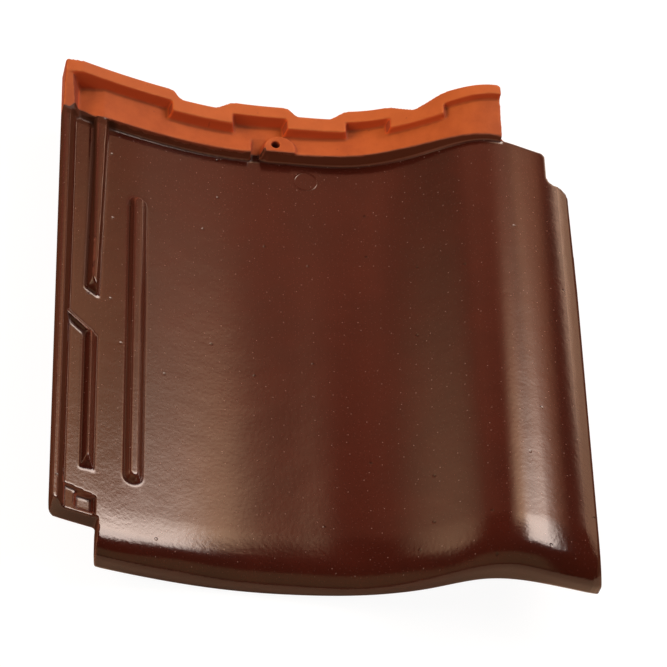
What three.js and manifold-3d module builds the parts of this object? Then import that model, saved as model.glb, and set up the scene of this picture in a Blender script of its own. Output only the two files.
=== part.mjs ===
// Interlocking clay roof tile: a wide shallow pan, a roll along its right side, a ribbed water lock
// along its left side and a raised, meandering water stop across its head.
//
// Frame: X runs across the tile from the water lock to the roll, Y runs up the roof from the nose
// to the head, +Z is up. The origin is under the middle of the tile, on the plane it rests on.
//
// The tile is drawn flat first, with its pan as a level slab whose top face is at height 0.
// The slab is then bent: each point is lifted by the height of the cross section at its X.

import * as THREE from 'three';
import { mergeVertices } from 'three/addons/utils/BufferGeometryUtils.js';
import Module from 'manifold-3d';

const wasm = await Module();
wasm.setup();

// ---- Driving dimensions, in millimetres ----

// Overall plan
const TILE_WIDTH = 290;
const TILE_LENGTH = 316;
const BODY_THICKNESS = 12;

// Cross section: heights of the top face at stations across the tile
const LOCK_EDGE_HEIGHT = 22;      // at the outer edge of the water lock
const LOCK_INNER_X = 21;
const LOCK_INNER_HEIGHT = 15.3;
const PAN_SLOPE_X = 60;
const PAN_SLOPE_HEIGHT = 5.4;
const PAN_LOW_X = 100;
const PAN_LOW_HEIGHT = 0.2;
const PAN_FLAT_X = 138;
const PAN_FLAT_HEIGHT = 1.8;
const PAN_RISE_X = TILE_WIDTH - 117;
const PAN_RISE_HEIGHT = 6.8;
const ROLL_FOOT_X = TILE_WIDTH - 84;
const ROLL_FOOT_HEIGHT = 24;
const ROLL_SHOULDER_X = TILE_WIDTH - 62;
const ROLL_SHOULDER_HEIGHT = 38.8;
const ROLL_CREST_X = TILE_WIDTH - 47;
const ROLL_CREST_HEIGHT = 43;
const ROLL_BACK_X = TILE_WIDTH - 28;
const ROLL_BACK_HEIGHT = 39.5;
const ROLL_EDGE_HEIGHT = 32;      // at the tile's right edge
const EDGE_FLARE = 3;             // the right edge leans out by this much over its depth
const EDGE_FLARE_DEPTH = 14;
const EDGE_TAPER = 1.2;           // and it runs in by this much above here, towards the head
const EDGE_TAPER_Y = 190;
const BEND_STEP = 5;              // widest facet across the bend

// Nose, the rounded front edge with its hanging lip
const NOSE_RADIUS = 14;
const NOSE_DEPTH = 18;
const LIP_THICKNESS = 9;
const LIP_EDGE_RADIUS = 2;
const LIP_END_TAPER = 1.6;        // the left end of the lip leans in by this much
const LIP_BACK_Y = LIP_THICKNESS + NOSE_DEPTH - BODY_THICKNESS;
const NOSE_SEGMENTS = 5;

// Corner cut at the nose end of the water lock
const LOCK_FRONT_Y = 18;
const PAN_LEFT_X = 27.5;

// How far the lip hangs below the glazed face, across the tile
const LIP_DEPTHS = [
  [PAN_LEFT_X, 21.3],
  [PAN_SLOPE_X, 19],
  [PAN_LOW_X, 17.1],
  [PAN_FLAT_X, 16.8],
  [PAN_RISE_X, 15.2],
  [ROLL_FOOT_X, 20.3],
  [ROLL_SHOULDER_X, 23.2],
  [ROLL_CREST_X, 24.2],
  [ROLL_BACK_X, 21.6],
  [TILE_WIDTH, 18.6],
];

// Two-step corner cut at the head end of the roll
const HEAD_RIGHT_X = TILE_WIDTH - 41.5;
const FIRST_STEP_Y = TILE_LENGTH - 30.5;
const SECOND_STEP_X = TILE_WIDTH - 14.5;
const SECOND_STEP_Y = TILE_LENGTH - 52.5;
const CORNER_RADIUS = 5;
const EDGE_CORNER_RADIUS = 7.5;
const HEAD_RIGHT_TAPER = 2;       // the roll narrows by this much towards its head
const HEAD_CORNER_RADIUS = 2;     // at the corners and steps of the head edge

// Head shelf, the raised unglazed strip that the next tile covers
const SHELF_LENGTH = 31.5;
const SHELF_FRONT_Y = TILE_LENGTH - SHELF_LENGTH;
const SHELF_DRAFT = 1;            // how far its front wall leans back
const SHELF_RAMP_START_X = 9;     // its left end slopes down to the lock's channel
const SHELF_RAMP_END_X = 23;
const SHELF_STEPS = 48;
const SHELF_MIDDLE_X = TILE_WIDTH - 140;
const SHELF_RISE_X = TILE_WIDTH - 112;
const SHELF_DRAIN_X = 110;
const SHELF_FRONT_HEIGHTS = [     // heights of its front edge above the glazed face, across the tile
  [0, 6.2],
  [PAN_SLOPE_X, 6.7],
  [SHELF_DRAIN_X, 7.3],
  [SHELF_MIDDLE_X, 8],
  [SHELF_RISE_X, 9],
  [ROLL_FOOT_X, 8.2],
  [ROLL_SHOULDER_X, 5.2],
  [HEAD_RIGHT_X, 3.5],
];
const SHELF_BACK_HEIGHTS = [      // and of its back edge, at the foot of the water stop
  [0, 5.6],
  [PAN_SLOPE_X, 6],
  [SHELF_DRAIN_X, 5],
  [SHELF_MIDDLE_X, 6.4],
  [SHELF_RISE_X, 7.2],
  [ROLL_FOOT_X, 8.7],
  [ROLL_SHOULDER_X, 8.6],
  [HEAD_RIGHT_X, 8.4],
];

// Water stop, the rim that steps back and forth along the head
const STOP_HEIGHT = 13;
const STOP_BACK_INNER_Y = TILE_LENGTH - 10;    // inner wall where the rim stands back
const STOP_FRONT_INNER_Y = TILE_LENGTH - 17.5; // inner wall where it stands forward
const STOP_SETBACK = 5.8;           // how far its outer face steps in where it stands forward
const STOP_DRAFT_HEIGHT = 7;      // its walls lean back over this height below its top
const STOP_DRAFT = 1.8;
const STOP_CORNER_DROP = 3;       // its left end falls to the outer rim
const STOP_RIGHT_SETBACK = 2;     // its inner wall runs back by this much at its right end
const STOP_STEP_INSET = 2;        // how far its outer steps start inside its inner ones
const STOP_FORWARD_SPANS = [      // the stretches that stand forward, along its inner and outer wall
  { inner: [61.8, 100.8], outer: [68.5, 90] },
  { inner: [TILE_WIDTH - 161, TILE_WIDTH - 124], outer: [TILE_WIDTH - 154, TILE_WIDTH - 134] },
  { inner: [TILE_WIDTH - 103.5, TILE_WIDTH - 72.5], outer: [TILE_WIDTH - 90, TILE_WIDTH - 87.6] },
];

// Drain gap through the front of the head shelf
const DRAIN_LEFT_X = 111;
const DRAIN_RIGHT_X = 120.5;
const DRAIN_RAMP_LENGTH = 13;

// Nail hole and the round boss that it stands in
const NAIL_X = 124.6;
const NAIL_Y = TILE_LENGTH - 25;
const NAIL_DIAMETER = 4.6;
const NAIL_SIDES = 12;
const BOSS_OFFSET_X = 2.4;        // the boss isn't centred on its hole
const BOSS_OFFSET_Y = -3;
const BOSS_DIAMETER = 21;
const BOSS_HEIGHT = 9;
const BOSS_DRAFT = 1.5;
const BOSS_SIDES = 24;

// Water lock: outer rim, upper rib, diagonal rib and lower rib
const RIM_WIDTH = 8.3;
const RIM_TOP_WIDTH = 4.5;
const RIM_HEIGHT = 5;
const RIM_EDGE_CHAMFER = 1.2;
const RIM_HEAD_WIDTH = 10;        // it grows to this width and height where it meets the water stop
const RIM_HEAD_HEIGHT = 10;
const LOCK_EDGE_THICKNESS = 5;    // the slab thins to this at the lock's outer edge
const LOCK_EDGE_CHAMFER = 4;
const LOCK_RIB_LEFT_X = 17;
const LOCK_RIB_RIGHT_X = 24.2;
const UPPER_RIB_TOP_LEFT_X = 20.2;
const UPPER_RIB_TOP_RIGHT_X = 22.6;
const UPPER_RIB_HEIGHT = 6;
const UPPER_RIB_END_Y = 161;
const UPPER_RIB_END_SLOPE = 6;
const LOWER_RIB_RIDGE_X = 20.6;
const LOWER_RIB_HEIGHT = 5;
const LOWER_RIB_START_Y = 134;
const LOWER_RIB_END_Y = 45;
const LOWER_RIB_END_SLOPE = 7;
const DIAGONAL_START_Y = 143.5;   // where the diagonal rib leaves the outer rim
const DIAGONAL_WIDTH = 5.6;
const DIAGONAL_HEIGHT = 3;

// Long rib beside the water lock
const LONG_RIB_LEFT_X = 41;
const LONG_RIB_WIDTH = 10;
const LONG_RIB_FOOT_Y = 44;
const LONG_RIB_HEAD_Y = SHELF_FRONT_Y - 45.5;
const LONG_RIB_HEIGHT = 4.5;
const LONG_RIB_FLANK = 3;

// Drain recess in the nose end of the water lock, with a deeper pocket in its floor
const RECESS_BACK_LEFT_Y = 33;
const RECESS_BACK_RIGHT_Y = 30;
const RECESS_RIGHT_X = 26;
const RECESS_DEPTH = 3;
const RECESS_FALL = 1.5;            // how much deeper it is at the lock's front
const POCKET_LEFT_X = 15;
const POCKET_RIGHT_X = 24;
const POCKET_BACK_Y = 28;
const POCKET_DEPTH = 6.5;

// Cover lock under the roll's edge, which hooks over the next tile's water lock
const COVER_EDGE_WIDTH = 8;
const COVER_EDGE_DROP = 5;
const COVER_RIB_X = TILE_WIDTH - 25.5;
const COVER_RIB_WIDTH = 4;
const COVER_RIB_DROP = 3.5;
const COVER_START_Y = 20;

// Two nibs that hook over the batten
const NIB_WIDTH = 26;
const NIB_LENGTH = 12;
const NIB_FACE_Y = TILE_LENGTH - 18;
const NIB_TAPER = 2;
const LEFT_NIB_X = 33;
const RIGHT_NIB_X = TILE_WIDTH - 110;

// Flat shapes reach this far past what they cut or join
const OVERLAP = 1;

// ---- Cross section ----

const SECTION_STATIONS = [
  [0, LOCK_EDGE_HEIGHT],
  [LOCK_INNER_X, LOCK_INNER_HEIGHT],
  [PAN_SLOPE_X, PAN_SLOPE_HEIGHT],
  [PAN_LOW_X, PAN_LOW_HEIGHT],
  [PAN_FLAT_X, PAN_FLAT_HEIGHT],
  [PAN_RISE_X, PAN_RISE_HEIGHT],
  [ROLL_FOOT_X, ROLL_FOOT_HEIGHT],
  [ROLL_SHOULDER_X, ROLL_SHOULDER_HEIGHT],
  [ROLL_CREST_X, ROLL_CREST_HEIGHT],
  [ROLL_BACK_X, ROLL_BACK_HEIGHT],
  [TILE_WIDTH, ROLL_EDGE_HEIGHT],
];

// A natural cubic spline through stations of [position, height]
function smoothCurve(stations) {
  const count = stations.length;
  const bend = new Array(count).fill(0);
  const carry = new Array(count).fill(0);
  for (let i = 1; i < count - 1; i += 1) {
    const [x0, z0] = stations[i - 1];
    const [x1, z1] = stations[i];
    const [x2, z2] = stations[i + 1];
    const share = (x1 - x0) / (x2 - x0);
    const pivot = share * bend[i - 1] + 2;
    const slopeChange = (z2 - z1) / (x2 - x1) - (z1 - z0) / (x1 - x0);
    bend[i] = (share - 1) / pivot;
    carry[i] = (6 * slopeChange / (x2 - x0) - share * carry[i - 1]) / pivot;
  }
  for (let i = count - 2; i > 0; i -= 1) {
    carry[i] += bend[i] * carry[i + 1];
  }
  return (x) => {
    let i = 0;
    while (i < count - 2 && x > stations[i + 1][0]) i += 1;
    const [x0, z0] = stations[i];
    const [x1, z1] = stations[i + 1];
    const span = x1 - x0;
    const a = (x1 - x) / span;
    const b = (x - x0) / span;
    const curve = (a ** 3 - a) * carry[i] + (b ** 3 - b) * carry[i + 1];
    return a * z0 + b * z1 + curve * span * span / 6;
  };
}

const sectionHeight = smoothCurve(SECTION_STATIONS);

// ---- Solids ----

function toSolid(geometry) {
  const plain = geometry.index ? geometry.toNonIndexed() : geometry.clone();
  plain.deleteAttribute('normal');
  plain.deleteAttribute('uv');
  const merged = mergeVertices(plain, 1e-4);
  return new wasm.Manifold(new wasm.Mesh({
    numProp: 3,
    vertProperties: new Float32Array(merged.attributes.position.array),
    triVerts: new Uint32Array(merged.index.array),
  }));
}

function toGeometry(solid) {
  const mesh = solid.getMesh();
  const geometry = new THREE.BufferGeometry();
  geometry.setAttribute('position', new THREE.BufferAttribute(mesh.vertProperties, 3));
  geometry.setIndex(new THREE.BufferAttribute(mesh.triVerts, 1));
  return geometry;
}

function outline(points) {
  return new THREE.Shape(points.map(([x, y]) => new THREE.Vector2(x, y)));
}

// An outline whose corners given as [x, y, radius] are rounded
function roundedOutline(corners) {
  const shape = new THREE.Shape();
  corners.forEach(([x, y, radius = 0], i) => {
    const here = new THREE.Vector2(x, y);
    const before = corners[(i + corners.length - 1) % corners.length];
    const after = corners[(i + 1) % corners.length];
    const fromBefore = new THREE.Vector2(before[0], before[1]).sub(here).setLength(radius).add(here);
    const toAfter = new THREE.Vector2(after[0], after[1]).sub(here).setLength(radius).add(here);
    if (i === 0) {
      shape.moveTo(fromBefore.x, fromBefore.y);
    } else {
      shape.lineTo(fromBefore.x, fromBefore.y);
    }
    if (radius > 0) {
      shape.quadraticCurveTo(x, y, toAfter.x, toAfter.y);
    }
  });
  shape.closePath();
  return shape;
}

// A plan outline in X and Y, raised from one height to another
function raisePlan(shape, bottom, top, curveSegments = 3) {
  const geometry = new THREE.ExtrudeGeometry(shape, {
    depth: top - bottom,
    bevelEnabled: false,
    curveSegments,
  });
  geometry.translate(0, 0, bottom);
  return toSolid(geometry);
}

// A side outline in Y and Z, drawn out along X
function drawAlongX(shape, left, right, curveSegments = NOSE_SEGMENTS) {
  const geometry = new THREE.ExtrudeGeometry(shape, {
    depth: right - left,
    bevelEnabled: false,
    curveSegments,
  });
  geometry.applyMatrix4(new THREE.Matrix4().makeBasis(
    new THREE.Vector3(0, 1, 0),
    new THREE.Vector3(0, 0, 1),
    new THREE.Vector3(1, 0, 0),
  ));
  geometry.translate(left, 0, 0);
  return toSolid(geometry);
}

// A cross outline in X and Z, drawn out along Y
function drawAlongY(shape, front, back) {
  const geometry = new THREE.ExtrudeGeometry(shape, { depth: back - front, bevelEnabled: false });
  geometry.applyMatrix4(new THREE.Matrix4().makeBasis(
    new THREE.Vector3(1, 0, 0),
    new THREE.Vector3(0, 0, 1),
    new THREE.Vector3(0, -1, 0),
  ));
  geometry.translate(0, back, 0);
  return toSolid(geometry);
}

// ---- Flat tile ----

// Corners of the head's back edge from right to left, stepping in where the water stop is forward
function headEdge() {
  const corners = [];
  const forwardY = TILE_LENGTH - STOP_SETBACK;
  for (const { inner, outer } of [...STOP_FORWARD_SPANS].reverse()) {
    corners.push([inner[1] - STOP_STEP_INSET, TILE_LENGTH, HEAD_CORNER_RADIUS]);
    corners.push([outer[1], forwardY, HEAD_CORNER_RADIUS]);
    corners.push([outer[0], forwardY, HEAD_CORNER_RADIUS]);
    corners.push([inner[0] + STOP_STEP_INSET, TILE_LENGTH, HEAD_CORNER_RADIUS]);
  }
  return corners;
}

function planOutline() {
  return roundedOutline([
    [0, LOCK_FRONT_Y, 3],
    [PAN_LEFT_X, LOCK_FRONT_Y],
    [PAN_LEFT_X, -OVERLAP],
    [TILE_WIDTH, -OVERLAP],
    [TILE_WIDTH, EDGE_TAPER_Y],
    [TILE_WIDTH - EDGE_TAPER, SECOND_STEP_Y, EDGE_CORNER_RADIUS],
    [SECOND_STEP_X, SECOND_STEP_Y, CORNER_RADIUS],
    [SECOND_STEP_X, FIRST_STEP_Y, CORNER_RADIUS],
    [HEAD_RIGHT_X, FIRST_STEP_Y, CORNER_RADIUS / 2],
    [HEAD_RIGHT_X - HEAD_RIGHT_TAPER, TILE_LENGTH, HEAD_CORNER_RADIUS],
    ...headEdge(),
    [0, TILE_LENGTH, HEAD_CORNER_RADIUS],
  ]);
}

// Side view of the slab: level body, rounded nose and hanging lip
function slabOutline() {
  const side = new THREE.Shape();
  side.moveTo(TILE_LENGTH + OVERLAP, -BODY_THICKNESS);
  side.lineTo(TILE_LENGTH + OVERLAP, 0);
  side.lineTo(NOSE_RADIUS, 0);
  side.absarc(NOSE_RADIUS, -NOSE_RADIUS, NOSE_RADIUS, Math.PI / 2, Math.PI, false);
  side.lineTo(0, LIP_EDGE_RADIUS - NOSE_DEPTH);
  side.quadraticCurveTo(0, -NOSE_DEPTH, LIP_EDGE_RADIUS, -NOSE_DEPTH);
  side.lineTo(LIP_THICKNESS, -NOSE_DEPTH);
  side.lineTo(LIP_BACK_Y, -BODY_THICKNESS);
  side.closePath();
  return side;
}

const shelfFrontHeight = smoothCurve(SHELF_FRONT_HEIGHTS);
const shelfBackHeight = smoothCurve(SHELF_BACK_HEIGHTS);

// The shelf's height above the glazed face, with the ramp at its left end
function shelfHeight(x, y) {
  const back = (y - SHELF_FRONT_Y) / (STOP_BACK_INNER_Y - SHELF_FRONT_Y);
  const height = (1 - back) * shelfFrontHeight(x) + back * shelfBackHeight(x);
  const ramp = (x - SHELF_RAMP_START_X) / (SHELF_RAMP_END_X - SHELF_RAMP_START_X);
  return height * Math.min(ramp, 1);
}

// A thin bar along the head, with its top face drawn up to the shelf's height
function headShelf() {
  const width = HEAD_RIGHT_X - SHELF_RAMP_START_X;
  const length = SHELF_LENGTH + OVERLAP;
  const geometry = new THREE.BoxGeometry(width, length, OVERLAP, SHELF_STEPS, 1, 1);
  geometry.translate(SHELF_RAMP_START_X + width / 2, SHELF_FRONT_Y + length / 2, -OVERLAP / 2);
  const position = geometry.attributes.position;
  for (let i = 0; i < position.count; i += 1) {
    if (position.getZ(i) > -OVERLAP / 2) {
      const y = Math.max(position.getY(i), SHELF_FRONT_Y + SHELF_DRAFT);
      position.setY(i, y);
      position.setZ(i, shelfHeight(position.getX(i), y));
    }
  }
  return toSolid(geometry);
}

// The wedge of shelf that the drain gap takes away, down to a ramp
function drainGap() {
  const rampEndY = SHELF_FRONT_Y + DRAIN_RAMP_LENGTH;
  const side = outline([
    [SHELF_FRONT_Y - OVERLAP, 0],
    [SHELF_FRONT_Y, 0],
    [rampEndY, shelfHeight((DRAIN_LEFT_X + DRAIN_RIGHT_X) / 2, rampEndY)],
    [rampEndY, STOP_HEIGHT],
    [SHELF_FRONT_Y - OVERLAP, STOP_HEIGHT],
  ]);
  return drawAlongX(side, DRAIN_LEFT_X, DRAIN_RIGHT_X);
}

function nailBoss() {
  const height = BOSS_HEIGHT + OVERLAP;
  const geometry = new THREE.CylinderGeometry(
    BOSS_DIAMETER / 2 - BOSS_DRAFT,
    BOSS_DIAMETER / 2,
    height,
    BOSS_SIDES,
  );
  geometry.rotateX(Math.PI / 2);
  geometry.translate(NAIL_X + BOSS_OFFSET_X, NAIL_Y + BOSS_OFFSET_Y, height / 2 - OVERLAP);
  const behindShelfFront = drawAlongX(outline([
    [SHELF_FRONT_Y + SHELF_DRAFT, -2 * OVERLAP],
    [TILE_LENGTH, -2 * OVERLAP],
    [TILE_LENGTH, STOP_HEIGHT],
    [SHELF_FRONT_Y + SHELF_DRAFT, STOP_HEIGHT],
  ]), 0, TILE_WIDTH);
  return toSolid(geometry).intersect(behindShelfFront);
}

function waterStop() {
  const innerWall = [];
  for (const { inner: [left, right] } of STOP_FORWARD_SPANS) {
    innerWall.push([left, STOP_BACK_INNER_Y]);
    innerWall.push([left, STOP_FRONT_INNER_Y]);
    innerWall.push([right, STOP_FRONT_INNER_Y]);
    innerWall.push([right, STOP_BACK_INNER_Y]);
  }
  const beyondHead = TILE_LENGTH + STOP_DRAFT + OVERLAP;
  const beyondRight = HEAD_RIGHT_X + STOP_DRAFT + OVERLAP;
  const shape = outline([
    ...innerWall,
    [beyondRight, STOP_BACK_INNER_Y + STOP_RIGHT_SETBACK],
    [beyondRight, beyondHead],
    [-STOP_DRAFT - OVERLAP, beyondHead],
    [-STOP_DRAFT - OVERLAP, STOP_BACK_INNER_Y],
  ]);
  const stop = toSolid(new THREE.ExtrudeGeometry(shape, {
    depth: STOP_HEIGHT - STOP_DRAFT_HEIGHT,
    bevelEnabled: true,
    bevelThickness: STOP_DRAFT_HEIGHT,
    bevelSize: STOP_DRAFT,
    bevelOffset: -STOP_DRAFT,
    bevelSegments: 1,
  }));
  const cross = outline([
    [0, -STOP_HEIGHT],
    [TILE_WIDTH, -STOP_HEIGHT],
    [TILE_WIDTH, STOP_HEIGHT],
    [RIM_HEAD_WIDTH, STOP_HEIGHT],
    [0, STOP_HEIGHT - STOP_CORNER_DROP],
  ]);
  return stop.intersect(drawAlongY(cross, 0, beyondHead));
}

function rimCross(width, height) {
  return outline([
    [-OVERLAP, -OVERLAP],
    [width, -OVERLAP],
    [width, 0],
    [RIM_TOP_WIDTH, height],
    [RIM_EDGE_CHAMFER, height],
    [0, height - RIM_EDGE_CHAMFER],
    [-OVERLAP, height - RIM_EDGE_CHAMFER],
  ]);
}

// The rim along the lock, which rises to the water stop over the length of the shelf
function outerRim() {
  const beyondHead = TILE_LENGTH + OVERLAP;
  const rise = drawAlongX(outline([
    [SHELF_FRONT_Y, -OVERLAP],
    [SHELF_FRONT_Y, RIM_HEIGHT],
    [STOP_BACK_INNER_Y, RIM_HEAD_HEIGHT],
    [beyondHead, RIM_HEAD_HEIGHT],
    [beyondHead, -OVERLAP],
  ]), -OVERLAP, RIM_HEAD_WIDTH);
  const head = drawAlongY(rimCross(RIM_HEAD_WIDTH, RIM_HEAD_HEIGHT), 0, beyondHead);
  return drawAlongY(rimCross(RIM_WIDTH, RIM_HEIGHT), 0, beyondHead).add(head.intersect(rise));
}

// What the slab loses under the lock's outer edge
function lockUndercut() {
  return drawAlongY(outline([
    [-OVERLAP, -LOCK_EDGE_THICKNESS],
    [0, -LOCK_EDGE_THICKNESS],
    [LOCK_EDGE_CHAMFER, -BODY_THICKNESS],
    [LOCK_EDGE_CHAMFER, -BODY_THICKNESS - OVERLAP],
    [-OVERLAP, -BODY_THICKNESS - OVERLAP],
  ]), 0, TILE_LENGTH + OVERLAP);
}

// A rib with the given cross outline that runs down towards the nose and ends in a slope
function slopedRib(cross, endY, endSlope, startY, height) {
  const side = outline([
    [endY, 0],
    [endY + endSlope, height + OVERLAP],
    [startY, height + OVERLAP],
    [startY, -OVERLAP],
    [endY, -OVERLAP],
  ]);
  const across = drawAlongX(side, 0, TILE_WIDTH);
  return drawAlongY(cross, endY - OVERLAP, startY).intersect(across);
}

function upperLockRib() {
  const cross = outline([
    [LOCK_RIB_LEFT_X, -OVERLAP],
    [LOCK_RIB_RIGHT_X, -OVERLAP],
    [LOCK_RIB_RIGHT_X, 0],
    [UPPER_RIB_TOP_RIGHT_X, UPPER_RIB_HEIGHT],
    [UPPER_RIB_TOP_LEFT_X, UPPER_RIB_HEIGHT],
    [LOCK_RIB_LEFT_X, 0],
  ]);
  const startY = SHELF_FRONT_Y + SHELF_DRAFT;
  return slopedRib(cross, UPPER_RIB_END_Y, UPPER_RIB_END_SLOPE, startY, UPPER_RIB_HEIGHT);
}

function lowerLockRib() {
  const cross = outline([
    [LOCK_RIB_LEFT_X, -OVERLAP],
    [LOCK_RIB_RIGHT_X, -OVERLAP],
    [LOCK_RIB_RIGHT_X, 0],
    [LOWER_RIB_RIDGE_X, LOWER_RIB_HEIGHT],
    [LOCK_RIB_LEFT_X, 0],
  ]);
  return slopedRib(cross, LOWER_RIB_END_Y, LOWER_RIB_END_SLOPE, LOWER_RIB_START_Y, LOWER_RIB_HEIGHT);
}

// The rib that turns water out of the upper channel, from the outer rim to the lower rib's head
function diagonalRib() {
  const from = new THREE.Vector3(RIM_WIDTH - 2, DIAGONAL_START_Y, 0);
  const to = new THREE.Vector3(LOWER_RIB_RIDGE_X, LOWER_RIB_START_Y, 0);
  const along = to.clone().sub(from);
  const geometry = new THREE.ExtrudeGeometry(outline([
    [-DIAGONAL_WIDTH / 2, -OVERLAP],
    [DIAGONAL_WIDTH / 2, -OVERLAP],
    [DIAGONAL_WIDTH / 2, 0],
    [0, DIAGONAL_HEIGHT],
    [-DIAGONAL_WIDTH / 2, 0],
  ]), { depth: along.length(), bevelEnabled: false });
  const forward = along.clone().normalize();
  const up = new THREE.Vector3(0, 0, 1);
  geometry.applyMatrix4(new THREE.Matrix4().makeBasis(up.clone().cross(forward), up, forward));
  geometry.translate(from.x, from.y, 0);
  return toSolid(geometry);
}

function longRib() {
  const radius = LONG_RIB_WIDTH / 2 - LONG_RIB_FLANK;
  const middle = LONG_RIB_LEFT_X + LONG_RIB_WIDTH / 2;
  const shape = new THREE.Shape();
  shape.absarc(middle, LONG_RIB_HEAD_Y - LONG_RIB_FLANK - radius, radius, 0, Math.PI, false);
  shape.absarc(middle, LONG_RIB_FOOT_Y + LONG_RIB_FLANK + radius, radius, Math.PI, 2 * Math.PI, false);
  shape.closePath();
  const geometry = new THREE.ExtrudeGeometry(shape, {
    depth: OVERLAP,
    bevelEnabled: true,
    bevelThickness: LONG_RIB_HEIGHT,
    bevelSize: LONG_RIB_FLANK,
    bevelSegments: 2,
    curveSegments: 4,
  });
  geometry.translate(0, 0, -OVERLAP);
  return toSolid(geometry);
}

function drainRecess() {
  const plan = outline([
    [RIM_WIDTH, LOCK_FRONT_Y - OVERLAP],
    [RECESS_RIGHT_X, LOCK_FRONT_Y - OVERLAP],
    [RECESS_RIGHT_X, RECESS_BACK_RIGHT_Y],
    [RIM_WIDTH, RECESS_BACK_LEFT_Y],
  ]);
  const side = outline([
    [LOCK_FRONT_Y - OVERLAP, -RECESS_DEPTH - RECESS_FALL],
    [RECESS_BACK_LEFT_Y + OVERLAP, -RECESS_DEPTH],
    [RECESS_BACK_LEFT_Y + OVERLAP, RIM_HEIGHT],
    [LOCK_FRONT_Y - OVERLAP, RIM_HEIGHT],
  ]);
  const basin = raisePlan(plan, -BODY_THICKNESS, RIM_HEIGHT).intersect(drawAlongX(side, 0, PAN_LEFT_X));
  const pocket = raisePlan(outline([
    [POCKET_LEFT_X, LOCK_FRONT_Y - OVERLAP],
    [POCKET_RIGHT_X, LOCK_FRONT_Y - OVERLAP],
    [POCKET_RIGHT_X, POCKET_BACK_Y],
    [POCKET_LEFT_X, POCKET_BACK_Y],
  ]), -POCKET_DEPTH, RIM_HEIGHT);
  return basin.add(pocket);
}

// A rib that hangs from the underside near the roll's edge
function coverRib(left, width, drop) {
  const back = SECOND_STEP_Y - CORNER_RADIUS;
  return raisePlan(outline([
    [left, COVER_START_Y],
    [left + width, COVER_START_Y],
    [left + width, back],
    [left, back],
  ]), -BODY_THICKNESS - drop, -BODY_THICKNESS / 2);
}

function flatTile() {
  const insidePlan = raisePlan(planOutline(), -2 * NOSE_DEPTH, 2 * STOP_HEIGHT);
  const head = headShelf().subtract(drainGap()).add(nailBoss()).add(waterStop());
  return drawAlongX(slabOutline(), 0, TILE_WIDTH)
    .add(head)
    .add(outerRim())
    .add(upperLockRib())
    .add(lowerLockRib())
    .add(diagonalRib())
    .add(longRib())
    .subtract(drainRecess())
    .subtract(lockUndercut())
    .add(coverRib(TILE_WIDTH - COVER_EDGE_WIDTH, COVER_EDGE_WIDTH, COVER_EDGE_DROP))
    .add(coverRib(COVER_RIB_X, COVER_RIB_WIDTH, COVER_RIB_DROP))
    .intersect(insidePlan);
}

// ---- Bend ----

const lipDepth = smoothCurve(LIP_DEPTHS);

// Where a point of the flat tile goes: the lip is drawn to its depth, the right edge is flared and
// every point is lifted by the height of the cross section at its X
function bendPoint(x, y, z) {
  let height = z;
  let across = x;
  if (y < LIP_BACK_Y && z < -BODY_THICKNESS) {
    const share = (z + BODY_THICKNESS) / (BODY_THICKNESS - NOSE_DEPTH);
    height = share * (BODY_THICKNESS - lipDepth(x)) - BODY_THICKNESS;
    across += share * LIP_END_TAPER * Math.max(0, 1 - (x - PAN_LEFT_X) / BEND_STEP);
  }
  const nearEdge = Math.max(0, 1 - (TILE_WIDTH - x) / BEND_STEP);
  across += nearEdge * EDGE_FLARE * Math.min(Math.max(-z / EDGE_FLARE_DEPTH, 0), 1);
  return [across, y, height + sectionHeight(x)];
}

function bendStrip(strip) {
  const geometry = toGeometry(strip);
  const position = geometry.attributes.position;
  for (let i = 0; i < position.count; i += 1) {
    position.setXYZ(i, ...bendPoint(position.getX(i), position.getY(i), position.getZ(i)));
  }
  return toSolid(geometry);
}

// Cuts the flat tile into narrow strips from left to right, bends each one and joins them again
function bendToSection(flat) {
  const strips = Math.ceil(TILE_WIDTH / BEND_STEP);
  const stripWidth = TILE_WIDTH / strips;
  const stations = Array.from({ length: strips }, (_, i) => i * stripWidth);
  return stations
    .map((left) => raisePlan(outline([
      [left, -OVERLAP],
      [left + stripWidth, -OVERLAP],
      [left + stripWidth, TILE_LENGTH + OVERLAP],
      [left, TILE_LENGTH + OVERLAP],
    ]), -3 * NOSE_DEPTH, 3 * STOP_HEIGHT))
    .map((strip) => bendStrip(flat.intersect(strip)))
    .reduce((joined, strip) => joined.add(strip));
}

// ---- Parts that stay level ----

// A nib under the head: a tapered block whose flat foot is level with the lip's lowest point
function nib(left, foot) {
  const right = left + NIB_WIDTH;
  const middle = left + NIB_WIDTH / 2;
  const back = NIB_FACE_Y + NIB_LENGTH;
  const top = sectionHeight(middle) - BODY_THICKNESS / 2;
  const front = drawAlongY(outline([
    [left + NIB_TAPER, foot],
    [right - NIB_TAPER, foot],
    [right, top],
    [left, top],
  ]), NIB_FACE_Y, back);
  const side = drawAlongX(outline([
    [NIB_FACE_Y, foot],
    [back - NIB_TAPER, foot],
    [back, top],
    [NIB_FACE_Y, top],
  ]), left, right);
  return front.intersect(side);
}

function nailHole() {
  const height = 4 * BODY_THICKNESS;
  const geometry = new THREE.CylinderGeometry(
    NAIL_DIAMETER / 2,
    NAIL_DIAMETER / 2,
    height,
    NAIL_SIDES,
  );
  geometry.rotateX(Math.PI / 2);
  geometry.translate(NAIL_X, NAIL_Y, sectionHeight(NAIL_X));
  return toSolid(geometry);
}

// ---- The tile ----

const bentTile = bendToSection(flatTile());
const restHeight = bentTile.boundingBox().min[2];
const tile = bentTile
  .add(nib(LEFT_NIB_X, restHeight))
  .add(nib(RIGHT_NIB_X, restHeight))
  .subtract(nailHole());

const glazedClay = new THREE.MeshStandardMaterial({
  color: 0x5a2a20,
  roughness: 0.2,
  metalness: 0,
});

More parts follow.
